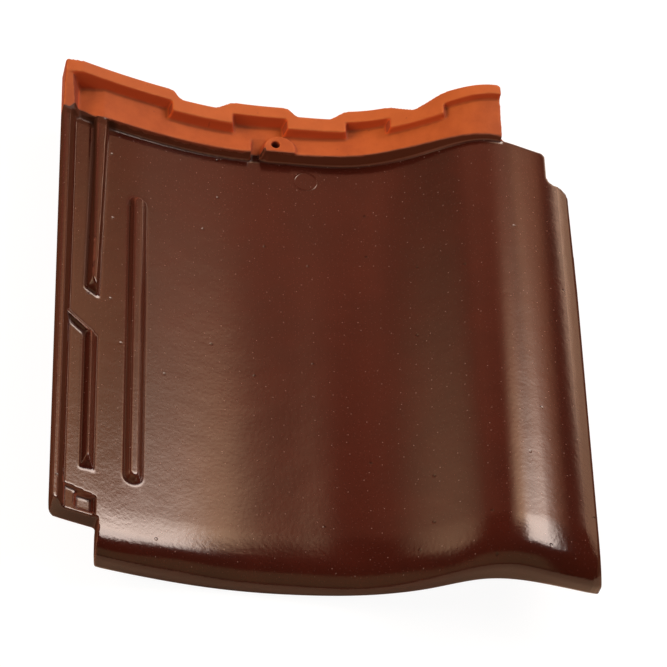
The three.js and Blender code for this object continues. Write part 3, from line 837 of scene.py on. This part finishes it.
def thin_out(tile):
    """Thins the skin where it is plain, and keeps the shading of the fine one."""
    fine = tile.copy()
    fine.data = tile.data.copy()
    bpy.context.scene.collection.objects.link(fine)
    triangles = sum(len(face.vertices) - 2 for face in tile.data.polygons)
    finish_modifier(tile, "DECIMATE", ratio=min(1, FACES_KEPT / triangles))
    for skin in (tile, fine):
        for face in skin.data.polygons:
            face.use_smooth = True
    finish_modifier(
        tile,
        "DATA_TRANSFER",
        object=fine,
        use_loop_data=True,
        data_types_loops={"CUSTOM_NORMAL"},
        loop_mapping="POLYINTERP_NEAREST",
    )
    discard(fine)


def mark_flat_frame(tile):
    """Keeps each point's place in the flat frame, in metres, for the finishes to read."""
    points = read_points(tile)
    x = points[:, 0] / MM + (TILE_WIDTH + EDGE_FLARE) / 2
    flat = np.stack([
        x,
        points[:, 1] / MM + TILE_LENGTH / 2,
        points[:, 2] / MM - REST_HEIGHT - section_height(x),
    ], axis=1)
    layer = tile.data.attributes.new("flat_place", "FLOAT_VECTOR", "POINT")
    layer.data.foreach_set("vector", (flat * MM).ravel())


def mark_edges(tile):
    """Marks how sharply the skin bends at each point, and how level it is.

    The bend runs from 1 on an outer edge to -1 in an inner corner.
    """
    points = read_points(tile)
    normals = np.empty(len(points) * 3)
    tile.data.vertices.foreach_get("normal", normals)
    normals = normals.reshape(-1, 3)
    pairs = np.empty(len(tile.data.edges) * 2, int)
    tile.data.edges.foreach_get("vertices", pairs)
    pairs = pairs.reshape(-1, 2)
    both = np.concatenate([pairs, pairs[:, ::-1]])
    here, there = both.T
    apart = points[here] - points[there]
    bend = 2 * np.sum(normals[here] * apart, axis=1) / np.sum(apart**2, axis=1)
    count = np.bincount(here, minlength=len(points))
    edge = np.bincount(here, bend, len(points)) / count
    edge = np.clip(edge / EDGE_BEND, -1, 1)
    for _ in range(EDGE_BLUR_PASSES):
        edge = 0.5 * edge + 0.5 * np.bincount(here, edge[there], len(points)) / count
    for name, values in (("edge", edge), ("level", normals[:, 2].copy())):
        layer = tile.data.attributes.new(name, "FLOAT", "POINT")
        layer.data.foreach_set("value", values)


# ---- Shader graphs ----

class Signal:
    """A socket that can be used in Python expressions."""

    def __init__(self, graph, socket):
        self.graph = graph
        self.socket = socket

    def math(self, operation, *others):
        return self.graph.node("ShaderNodeMath", {"operation": operation}, [self, *others])

    def at_least(self, other):
        return self.math("MAXIMUM", other)

    def __add__(self, other):
        return self.math("ADD", other)

    def __sub__(self, other):
        return self.math("SUBTRACT", other)

    def __rsub__(self, other):
        return self.graph.node("ShaderNodeMath", {"operation": "SUBTRACT"}, [other, self])

    def __mul__(self, other):
        return self.math("MULTIPLY", other)

    def __pow__(self, other):
        return self.math("POWER", other)

    def __abs__(self):
        return self.math("ABSOLUTE")

    __radd__ = __add__
    __rmul__ = __mul__


class Graph:
    """Makes the nodes of one node tree. The sizes of its textures are in millimetres."""

    def __init__(self, tree):
        self.tree = tree
        tree.nodes.clear()

    def node(self, kind, settings=None, inputs=(), output=0):
        made = self.tree.nodes.new(kind)
        for name, value in (settings or {}).items():
            setattr(made, name, value)
        pairs = inputs.items() if isinstance(inputs, dict) else enumerate(inputs)
        for name, value in pairs:
            if isinstance(value, Signal):
                self.tree.links.new(value.socket, made.inputs[name])
            elif value is not None:
                made.inputs[name].default_value = value
        return Signal(self, made.outputs[output]) if made.outputs else None

    def attribute(self, name, output):
        return self.node("ShaderNodeAttribute", {"attribute_name": name}, output=output)

    def ramp(self, signal, limits, start=0.0, end=1.0):
        """Goes softly from start to end as the signal goes from one limit to the other."""
        return self.node(
            "ShaderNodeMapRange",
            {"interpolation_type": "SMOOTHSTEP"},
            [signal, *limits, start, end],
        )

    def fade(self, signal, limits):
        """Falls softly from 1 to 0 as the signal goes from one limit to the other."""
        return self.ramp(signal, limits, 1.0, 0.0)

    def band(self, signal, rise, fall):
        """Rises from 0 to 1 between two limits, and falls back to 0 between two later ones."""
        return self.ramp(signal, rise) * self.fade(signal, fall)

    def noise(self, place, size, detail, roughness=0.5):
        return self.node(
            "ShaderNodeTexNoise",
            {"noise_dimensions": "3D"},
            {"Vector": place, "Scale": 1 / (size * MM), "Detail": detail, "Roughness": roughness},
        )

    def cells(self, place, size, output="Distance"):
        return self.node(
            "ShaderNodeTexVoronoi",
            {"feature": "F1", "voronoi_dimensions": "2D"},
            {"Vector": place, "Scale": 1 / (size * MM)},
            output,
        )

    def mix(self, share, first, second):
        """Mixes two colours, through the Mix node's colour sockets."""
        return self.node(
            "ShaderNodeMix",
            {"data_type": "RGBA"},
            {0: share, 6: first, 7: second},
            output=2,
        )

    def stain(self, colour, stains):
        """Lays colours over a colour one after another, each by its share."""
        for share, stain in stains:
            colour = self.mix(share, colour, stain)
        return colour

    def split(self, vector):
        parts = self.node("ShaderNodeSeparateXYZ", inputs=[vector])
        return [Signal(self, socket) for socket in parts.socket.node.outputs]


def tint(red, green, blue):
    """A colour from its 0 to 255 screen values."""
    def linear(level):
        level /= 255
        return level / 12.92 if level <= 0.04045 else ((level + 0.055) / 1.055) ** 2.4
    return (linear(red), linear(green), linear(blue), 1.0)


# ---- The tile's finish ----

# Places and heights are in millimetres of the flat frame, and a pair is where a change starts and ends.

DEEP_GLAZE = tint(47, 15, 9)
WARM_GLAZE = tint(53, 17, 10)
THIN_GLAZE = tint(92, 50, 36)          # where it runs thin over an edge
WALL_LIGHT_GLAZE = tint(100, 51, 36)         # painted light on the front wall of the head shelf
RIB_LIGHT_GLAZE = tint(96, 50, 36)           # painted light on the steep sides of the ribs
RECESS_LIGHT_GLAZE = tint(124, 66, 50)       # painted light on the steep sides of the drain recess
FOOT_HIGHLIGHT_GLAZE = tint(176, 148, 124)       # a painted highlight in a line along the foot of the shelf's wall
# a dull diffuse glaze that hides the glints at the lock's head end; on the outer sides and the roll's
# rim it is painted shade, in place of the glaze's reflection
MATT_GLAZE_AND_SIDE_SHADE = tint(62, 35, 25)
DUST = tint(200, 180, 172)
# light flecks, partly real specks and partly painted glints
FLECK_AND_GLINT = tint(212, 190, 180)
PINHOLE = tint(34, 12, 8)

DARK_CLAY = tint(142, 63, 13)
PALE_CLAY = tint(156, 74, 22)
WORN_CLAY = tint(176, 96, 48)
# painted shade: a redder tint for upright walls, standing in for the orange bounce light in their shade
WALL_SHADE_CLAY = tint(174, 64, 15)
# painted shade on the clay faces that look out to the sides
SIDE_SHADE_CLAY = tint(92, 34, 12)
# painted shade in inner corners
CORNER_SHADE_CLAY = tint(108, 30, 4)
# painted light on the water stop's top
STOP_TOP_LIGHT_CLAY = tint(170, 90, 36)
CLAY_PIT = tint(96, 34, 12)
SMEARED_CLAY = tint(96, 52, 38)        # beside the border of the glaze
BORE_SHADE = tint(30, 9, 3)


class Skin:
    """What the finish reads at each point of the tile's skin.

    The edge runs from 1 on an outer edge to -1 in an inner corner, and the level from 1 where the skin
    faces up to -1 where it faces down.
    """

    OPEN_LEVEL = (0.55, 0.8)

    def __init__(self, graph):
        self.place = graph.node("ShaderNodeTexCoord", output="Object")
        self.flat = graph.attribute("flat_place", "Vector")
        self.edge = graph.attribute("edge", "Fac")
        self.level = graph.attribute("level", "Fac")
        self.x, self.y, self.z = [part * (1 / MM) for part in graph.split(self.flat)]
        normal = graph.node("ShaderNodeNewGeometry", output="Normal")
        self.sideways = abs(graph.split(normal)[0])
        self.open_face = graph.ramp(self.level, self.OPEN_LEVEL)

    def squared_distance(self, x, y):
        across = self.x - x
        along = self.y - y
        return across * across + along * along


SPECK_CORE = 0.4                       # the share of a speck's radius that is full
SPECK_CHANCE_BLUR = 0.02


def specks(graph, skin, spacing, radius, share):
    """Small round marks, one to a cell in this share of the cells."""
    cell = graph.cells(skin.flat, spacing)
    chance = graph.split(graph.cells(skin.flat, spacing, "Color"))[0]
    present = graph.fade(chance, (share, share + SPECK_CHANCE_BLUR))
    reach = radius / spacing
    return graph.fade(cell, (SPECK_CORE * reach, reach)) * present


LEFT_SIDE_X = (6, 8)
RIGHT_SIDE_X = (283, 285)
SIDE_FACING = (0.8, 0.93)
SIDE_EASE = 0.28                       # how much less sideways a face beside an edge has to look
NOSE_EDGE_X = 289.9                    # the roll's right edge towards the nose
HEAD_EDGE_X = 289.2                    # and towards the head
EDGE_SHIFT_Y = (160, 240)              # and where it goes from the one to the other
RIM_FROM_EDGE = (-1.4, -1)
RIM_FRONT_Y = (2, 6)


def outer_sides(graph, skin):
    """The faces that look out to the left and the right, and the rim of the roll's right edge, which get
    painted shade: a darker clay, and a dull diffuse in place of the glaze's reflection.
    """
    beside_edges = graph.fade(skin.x, LEFT_SIDE_X) + graph.ramp(skin.x, RIGHT_SIDE_X)
    sides = graph.ramp(skin.sideways + beside_edges * SIDE_EASE, SIDE_FACING)
    right_edge = graph.ramp(skin.y, EDGE_SHIFT_Y, NOSE_EDGE_X, HEAD_EDGE_X)
    rim = graph.ramp(skin.x - right_edge, RIM_FROM_EDGE) * graph.ramp(skin.y, RIM_FRONT_Y)
    return sides.at_least(rim)


BORDER_Y = (285.4, 285.8)              # where the glaze ends at the head
BORDER_WANDER = 0.6
GAP_LEFT_X = (110.4, 111.2)
GAP_RIGHT_X = (118.6, 119.4)
BORDER_IN_GAP = 2.2                    # how far the border steps forward in the drain gap
CHANNEL_LEFT_X = (3, 8)
CHANNEL_RIGHT_X = (10, 20)
BORDER_IN_CHANNEL = 4.2                # and in the lock's upper channel
BEFORE_GAP_X = (105, 110)
BORDER_BEFORE_GAP = 0.3                # and back again to the left of the gap
LIP_BACK_FACE_Y = (3, 4.2)
UNDERSIDE_Z = (-11.6, -10.8)


def bare_clay(graph, skin):
    """Where the clay is bare, at the head and underneath, and how far up the glaze's border lies."""
    wander = (graph.noise(skin.place, size=6, detail=3) - 0.5) * BORDER_WANDER
    in_gap = graph.band(skin.x, GAP_LEFT_X, GAP_RIGHT_X)
    in_channel = graph.band(skin.x, CHANNEL_LEFT_X, CHANNEL_RIGHT_X)
    before_gap = graph.fade(skin.x, BEFORE_GAP_X)
    up = skin.y + wander - in_gap * BORDER_IN_GAP - in_channel * BORDER_IN_CHANNEL
    up = up + before_gap * BORDER_BEFORE_GAP
    underneath = graph.fade(skin.z + wander, UNDERSIDE_Z) * graph.ramp(skin.y, LIP_BACK_FACE_Y)
    return graph.ramp(up, BORDER_Y).at_least(underneath), up


MOTTLE = (0.3, 0.7)
THIN_EDGE = (0.15, 0.8)
THIN_PATCHES = (0.3, 0.6)
HEAD_WALL_Y = (282, 283.5)
RIBS_LEFT_X = (6, 8)
RIBS_RIGHT_X = (60, 65)
RIBS_FRONT_Y = (19.5, 20.5)
RECESS_END_Y = (35, 37)
RECESS_END_X = (27, 29)
FOOT_EDGE = (-0.8, -0.55)
FOOT_Y = (279.5, 280.5)
FOOT_LEFT_X = (34, 38)
FOOT_GAP_X = (108.5, 110)
FOOT_PAST_GAP = 0.1                    # what is left of the painted highlight along the foot to the right of the gap


def glaze_colour(graph, skin, pinhole):
    """Dark chestnut that is paler on edges, with dust, flecks and pinholes; painted light pales its
    steep walls, a painted highlight runs along the foot of the head shelf's wall, and some flecks are
    painted glints.
    """
    x, y = skin.x, skin.y
    upright = 1 - skin.open_face
    mottle = graph.ramp(graph.noise(skin.place, size=30, detail=4, roughness=0.6), MOTTLE)
    patches = graph.ramp(graph.noise(skin.place, size=4, detail=3), THIN_PATCHES)
    thin = graph.ramp(skin.edge, THIN_EDGE) * patches
    # painted light: upright glaze at the head shelf's front wall is paled
    lit_head_wall = graph.ramp(y, HEAD_WALL_Y) * upright
    among_ribs = graph.band(x, RIBS_LEFT_X, RIBS_RIGHT_X) * graph.ramp(y, RIBS_FRONT_Y)
    # painted light: the steep sides of the ribs are paled
    lit_rib_side = among_ribs * (1 - lit_head_wall) * upright
    # the drain recess's steep sides get more painted light
    in_recess = graph.fade(y, RECESS_END_Y) * graph.fade(x, RECESS_END_X)
    # a painted highlight: a pale line along the concave foot of the shelf's wall
    foot = graph.fade(skin.edge, FOOT_EDGE) * graph.ramp(y, FOOT_Y)
    foot_highlight = foot * graph.ramp(x, FOOT_LEFT_X) * graph.ramp(x, FOOT_GAP_X, 1.0, FOOT_PAST_GAP)
    dust = specks(graph, skin, spacing=2.8, radius=0.28, share=0.6) * skin.open_face
    # flecks that are partly real specks and partly painted glints
    fleck_and_glint = specks(graph, skin, spacing=8.5, radius=0.37, share=0.45) * skin.open_face
    return graph.stain(graph.mix(mottle, DEEP_GLAZE, WARM_GLAZE), [
        (thin * 0.5, THIN_GLAZE),
        (lit_head_wall * 0.9, WALL_LIGHT_GLAZE),
        (lit_rib_side * 0.3, RIB_LIGHT_GLAZE),
        (lit_rib_side * in_recess * 0.6, RECESS_LIGHT_GLAZE),
        (foot_highlight * 0.7, FOOT_HIGHLIGHT_GLAZE),
        (dust * 0.04, DUST),
        (fleck_and_glint * 0.17, FLECK_AND_GLINT),
        (pinhole, PINHOLE),
    ])


WORN_EDGE = (0.1, 0.7)
WORN_PATCHES = (0.3, 0.65)
UPRIGHT_LEVEL = (0.4, 0.85)
CORNER_EDGE = (-0.6, -0.1)
STOP_TOP_Z = (9, 12.5)
STOP_TOP_LEVEL = (0.7, 0.9)
SMEAR_Y = (285.7, 286.8)
BORE_REACH = (5, 7)                    # in square millimetres


def clay_colour(graph, skin, shaded_outer_side, border_place):
    """Orange fired clay, paler on worn edges and darker in pits, with painted shade in inner corners, on
    upright walls and on the outer sides, and painted light on the water stop's top.
    """
    mottle = graph.ramp(graph.noise(skin.place, size=14, detail=5, roughness=0.65), MOTTLE)
    patches = graph.ramp(graph.noise(skin.place, size=3, detail=3), WORN_PATCHES)
    worn = graph.ramp(skin.edge, WORN_EDGE) * patches
    # painted shade: upright walls are tinted redder
    upright = graph.fade(abs(skin.level), UPRIGHT_LEVEL)
    # painted shade in inner corners
    corner = graph.fade(skin.edge, CORNER_EDGE)
    # painted light: the water stop's upward-facing top is paler
    lit_stop_top = graph.ramp(skin.z, STOP_TOP_Z) * graph.ramp(skin.level, STOP_TOP_LEVEL)
    pit = specks(graph, skin, spacing=16, radius=0.7, share=0.4)
    smeared = graph.fade(border_place, SMEAR_Y)
    in_bore = graph.fade(skin.squared_distance(NAIL_X, NAIL_Y), BORE_REACH)
    return graph.stain(graph.mix(mottle, DARK_CLAY, PALE_CLAY), [
        (worn * 0.4, WORN_CLAY),
        (upright, WALL_SHADE_CLAY),
        (shaded_outer_side * 0.7, SIDE_SHADE_CLAY),
        (corner * 0.4, CORNER_SHADE_CLAY),
        (lit_stop_top * 0.4, STOP_TOP_LIGHT_CLAY),
        (pit * 0.35, CLAY_PIT),
        (smeared * 0.6, SMEARED_CLAY),
        (in_bore * 0.9, BORE_SHADE),
    ])


PEEL_HEIGHT = 0.034                    # of the glaze's orange peel
NOSE_PEEL_HEIGHT = 0.08
NOSE_PEEL_Y = (12, 30)
WAVE_HEIGHT = 0.07
GRAIN_HEIGHT = 0.08                    # of the bare clay's grain
RING_HEIGHT = 0.11
RING_BLUR = (0.1, 0.6)
PINHOLE_DEPTH = 0.12
CREST_X = (239.8, 260.5)               # where the crest's shading turns
CREST_HEIGHT = 0.79
CROWN_X = 259
CROWN_BEND = 0.0056                    # how fast the crest's right side turns down, per millimetre
EDGE_TURN_X = 282.5
EDGE_TURN = 0.14
EDGE_TURN_SHIFT = 5                    # how much further right the edge turns at the nose
EDGE_TURN_Y = (0, 30)
NOSE_TURN_Y = 11.8
NOSE_TURN = 0.025                      # how much tighter the nose's left end bends, per millimetre
NOSE_TURN_X = (30, 78)


def fine_relief(graph, skin, bare, pinhole):
    """The height of the skin's fine relief, and of the soft turns at the crest and the nose."""
    x, y = skin.x, skin.y
    peel_height = graph.ramp(y, NOSE_PEEL_Y, NOSE_PEEL_HEIGHT, PEEL_HEIGHT)
    peel = graph.noise(skin.place, size=2.2, detail=2) * peel_height
    waves = graph.noise(skin.place, size=14, detail=1) * WAVE_HEIGHT
    grain = graph.noise(skin.place, size=0.7, detail=4, roughness=0.7) * GRAIN_HEIGHT
    from_ring = abs(skin.squared_distance(RING_X, RING_Y) ** 0.5 - RING_RADIUS)
    ring = graph.fade(from_ring, RING_BLUR) * RING_HEIGHT
    crest = graph.ramp(x, CREST_X) * CREST_HEIGHT
    past_crest = (x - CROWN_X).at_least(0)
    edge_shift = graph.ramp(y, EDGE_TURN_Y, EDGE_TURN_SHIFT, 0)
    past_edge = (x - EDGE_TURN_X - edge_shift).at_least(0)
    past_nose = (NOSE_TURN_Y - y).at_least(0)
    turns = crest - past_crest * past_crest * CROWN_BEND - past_edge * EDGE_TURN
    turns = turns + past_nose * past_nose * graph.ramp(x, NOSE_TURN_X, NOSE_TURN, 0)
    glazed = peel + waves + ring - pinhole * PINHOLE_DEPTH
    return glazed * (1 - bare) + grain * bare + turns


CLAY_ROUGHNESS = 0.8
LOCK_ROUGHNESS = 0.115
FACE_ROUGHNESS = 0.17
LOCK_TO_PAN_X = (35, 55)
SLOPE_POLISH = 0.05                    # how much smoother the glaze is on the roll's right slope
SLOPE_X = (262, 274)
POOL_ROUGHNESS = 0.4                   # in inner corners
POOL_EDGE = (-0.5, -0.15)
LEAST_ROUGHNESS = 0.1
CORNER_ROUGHNESS = 0.45                # at the head end of the lock
CORNER_Y = (283, 284.5)
CORNER_X = (12, 20)


def skin_roughness(graph, skin, bare):
    """Rough clay, and glaze that is dull where it pools and smooth on the open faces."""
    gloss = graph.ramp(skin.x, LOCK_TO_PAN_X, LOCK_ROUGHNESS, FACE_ROUGHNESS)
    gloss = gloss - graph.ramp(skin.x, SLOPE_X) * SLOPE_POLISH
    pool = graph.ramp(skin.edge, POOL_EDGE, POOL_ROUGHNESS, LEAST_ROUGHNESS)
    lock_corner = graph.ramp(skin.y, CORNER_Y) * graph.fade(skin.x, CORNER_X)
    least = pool.at_least(lock_corner * CORNER_ROUGHNESS)
    return (gloss * (1 - bare) + bare * CLAY_ROUGHNESS).at_least(least)


LOCK_HEAD_Y = (279, 281.5)
LOCK_HEAD_X = (30, 34)
LOCK_HEAD_DULLNESS = 0.8
GLAZE_INDEX = 1.5


def glazed_clay():
    """Dark chestnut glaze with pinholes and specks over orange clay, which is bare at the head, with
    painted light and shade on walls, sides, corners and tops.
    """
    material = bpy.data.materials.new("glazed_clay_finish")
    material.use_nodes = True
    graph = Graph(material.node_tree)
    skin = Skin(graph)
    # the outer sides and the roll's rim, drawn with painted shade
    shaded_outer_side = outer_sides(graph, skin)
    lock_head = graph.ramp(skin.y, LOCK_HEAD_Y) * graph.fade(skin.x, LOCK_HEAD_X)
    bare, border_place = bare_clay(graph, skin)
    pinhole = specks(graph, skin, spacing=28, radius=1.1, share=0.35) * skin.open_face
    glaze = glaze_colour(graph, skin, pinhole)
    clay = clay_colour(graph, skin, shaded_outer_side, border_place)
    relief = graph.node("ShaderNodeBump", None, {
        "Strength": 1.0,
        "Distance": MM,
        "Height": fine_relief(graph, skin, bare, pinhole),
    })
    fired = graph.node("ShaderNodeBsdfPrincipled", None, {
        "Base Color": graph.mix(bare, glaze, clay),
        "Roughness": skin_roughness(graph, skin, bare),
        "Normal": relief,
        "IOR": GLAZE_INDEX,
    })
    # painted shade: on the outer sides and the roll's rim the glaze's reflection gives way to this dull
    # diffuse; at the lock's head end it only hides glints
    matt = graph.node("ShaderNodeBsdfDiffuse", None, {"Color": MATT_GLAZE_AND_SIDE_SHADE})
    dull = shaded_outer_side.at_least(lock_head * LOCK_HEAD_DULLNESS) * (1 - bare)
    surface = graph.node("ShaderNodeMixShader", None, [dull, fired, matt])
    graph.node("ShaderNodeOutputMaterial", None, {"Surface": surface})
    return material


# ---- Studio, in metres ----

LENS = 176.454
CAMERA_PLACE = (-0.3141509, -1.1040867, 1.3978612)
CAMERA_TURN = (0.66996889, -0.21349807, -0.02318576)

FLOOR_SIZE = 12
FLOOR_COLOUR = (0.66, 0.5, 0.36, 1)    # as the tile sees it
FLOOR_SHADE = (0.1, 0.1, 0.1, 1)       # what the camera sees of the lamps' light on it
FLOOR_GLOW = 0.93                      # and what it sees without them

WHITE = (1, 1, 1, 1)
AIR_LIGHT = 0.3
MIRRORED_AIR = (1, 0.35, 0.18, 1)
MIRRORED_LIGHT = 0.1


def floor_finish():
    """A pale floor that reads as white and keeps a soft shadow."""
    material = bpy.data.materials.new("pale_floor")
    material.use_nodes = True
    graph = Graph(material.node_tree)
    seen = graph.node("ShaderNodeLightPath", output="Is Camera Ray")
    matt = graph.node("ShaderNodeBsdfDiffuse", None, {"Color": FLOOR_COLOUR})
    faint = graph.node("ShaderNodeBsdfDiffuse", None, {"Color": FLOOR_SHADE})
    glow = graph.node("ShaderNodeEmission", None, {"Color": WHITE, "Strength": FLOOR_GLOW})
    white = graph.node("ShaderNodeAddShader", None, [faint, glow])
    shader = graph.node("ShaderNodeMixShader", None, [seen, matt, white])
    graph.node("ShaderNodeOutputMaterial", None, {"Surface": shader})
    return material


def camera():
    """Looks down the tile from beyond its nose, with a long lens."""
    data = bpy.data.cameras.new("camera")
    data.sensor_fit = "HORIZONTAL"
    data.sensor_width = 36
    data.lens = LENS
    data.clip_end = 20
    obj = bpy.data.objects.new("camera", data)
    bpy.context.scene.collection.objects.link(obj)
    obj.location = CAMERA_PLACE
    obj.rotation_euler = CAMERA_TURN
    bpy.context.scene.camera = obj


def floor():
    """A wide stage for the tile's shadow."""
    bpy.ops.object.select_all(action="DESELECT")
    bpy.ops.mesh.primitive_plane_add(size=FLOOR_SIZE)
    plane = bpy.context.active_object
    plane.name = "floor"
    plane.data.materials.append(floor_finish())


def soft_box(name, azimuth, elevation, distance, size, brightness, turned, fade):
    """A softbox in this direction from the tile, facing it, whose face has this brightness.

    Its face is turned by this angle and fades out towards its edges over this share of its size.
    """
    width, height = size
    data = bpy.data.lights.new(name, "AREA")
    data.shape = "RECTANGLE"
    data.size = width
    data.size_y = height
    data.color = [level / brightness[0] for level in brightness]
    data.energy = brightness[0] * math.pi * width * height
    data.use_nodes = True
    graph = Graph(data.node_tree)
    across, up, _ = graph.split(graph.node("ShaderNodeNewGeometry", output="Parametric"))
    strength = 1
    for from_edge in (across, 1 - across, up, 1 - up):
        strength = strength * graph.ramp(from_edge, (0, fade))
    glow = graph.node("ShaderNodeEmission", None, {"Strength": strength})
    graph.node("ShaderNodeOutputLight", None, {"Surface": glow})
    obj = bpy.data.objects.new(name, data)
    bpy.context.scene.collection.objects.link(obj)
    turn = math.radians(azimuth)
    rise = math.radians(elevation)
    direction = Vector((
        math.cos(rise) * math.cos(turn),
        math.cos(rise) * math.sin(turn),
        math.sin(rise),
    ))
    facing = direction.to_track_quat("Z", "Y").to_matrix()
    facing = facing @ Matrix.Rotation(math.radians(turned), 3, "Z")
    obj.location = direction * distance
    obj.rotation_euler = facing.to_euler()
    obj.visible_camera = False
    return obj


def lamps():
    """The window and panel that the glaze mirrors, and the dimmer glow of the room around them.

    Each is given by its azimuth, elevation, distance, size, brightness, turn and fade.
    """
    soft_box("window", 29.7, 48.2, 3.23, (1.9, 2.0), (12.0, 10.2, 9.3), -21, 0.25)
    soft_box("panel", 63.1, 55.9, 4.52, (1.54, 2.48), (6.3, 4.0, 2.45), -50, 0.49)
    soft_box("haze", 37.3, 47.6, 3.4, (2.43, 3.06), (2.5, 1.44, 0.7), 19, 0.5)
    soft_box("low haze", 43.6, 30, 3.4, (1.35, 1.62), (1.64, 0.71, 0.38), -27, 0.37)
    soft_box("wall", 92.4, 33.5, 3.78, (5.8, 4.0), (0.94, 0.33, 0.19), -4, 0.26)
    soft_box("left glow", 175, 23, 2.0, (4.0, 1.6), (3.3, 2.1, 1.23), -25, 0.45)
    soft_box("backdrop", 54, 6, 2.7, (2.6, 0.9), (3.15, 2.05, 1.42), 0, 0.2)
    soft_box("front wall", -90, 30, 2.5, (5, 2.6), (0.42, 0.32, 0.16), 0, 0.2)
    fill = soft_box("fill", 180, 25, 3.0, (1.5, 1.5), (9.8, 9.0, 8.2), 0, 0.1)
    fill.visible_glossy = False


def studio_air():
    """White to the camera, and dim and warm in what the glaze mirrors."""
    world = bpy.data.worlds.new("studio")
    bpy.context.scene.world = world
    world.use_nodes = True
    graph = Graph(world.node_tree)
    seen = graph.node("ShaderNodeLightPath", output="Is Camera Ray")
    mirrored = graph.node("ShaderNodeLightPath", output="Is Glossy Ray")
    air, dark, white = [
        graph.node("ShaderNodeBackground", None, {"Color": colour, "Strength": strength})
        for colour, strength in (
            (WHITE, AIR_LIGHT), (MIRRORED_AIR, MIRRORED_LIGHT), (WHITE, 1.0),
        )
    ]
    unseen = graph.node("ShaderNodeMixShader", None, [mirrored, air, dark])
    shader = graph.node("ShaderNodeMixShader", None, [seen, unseen, white])
    graph.node("ShaderNodeOutputWorld", None, {"Surface": shader})


def main():
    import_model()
    camera()
    tile = flat_tile()
    bend_and_place(tile)
    thin_out(tile)
    mark_flat_frame(tile)
    mark_edges(tile)
    tile.data.materials.clear()
    tile.data.materials.append(glazed_clay())
    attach(tile, "root")
    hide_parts("roof_tile")
    floor()
    studio_air()
    lamps()
    bpy.context.scene.view_settings.view_transform = "Standard"


main()
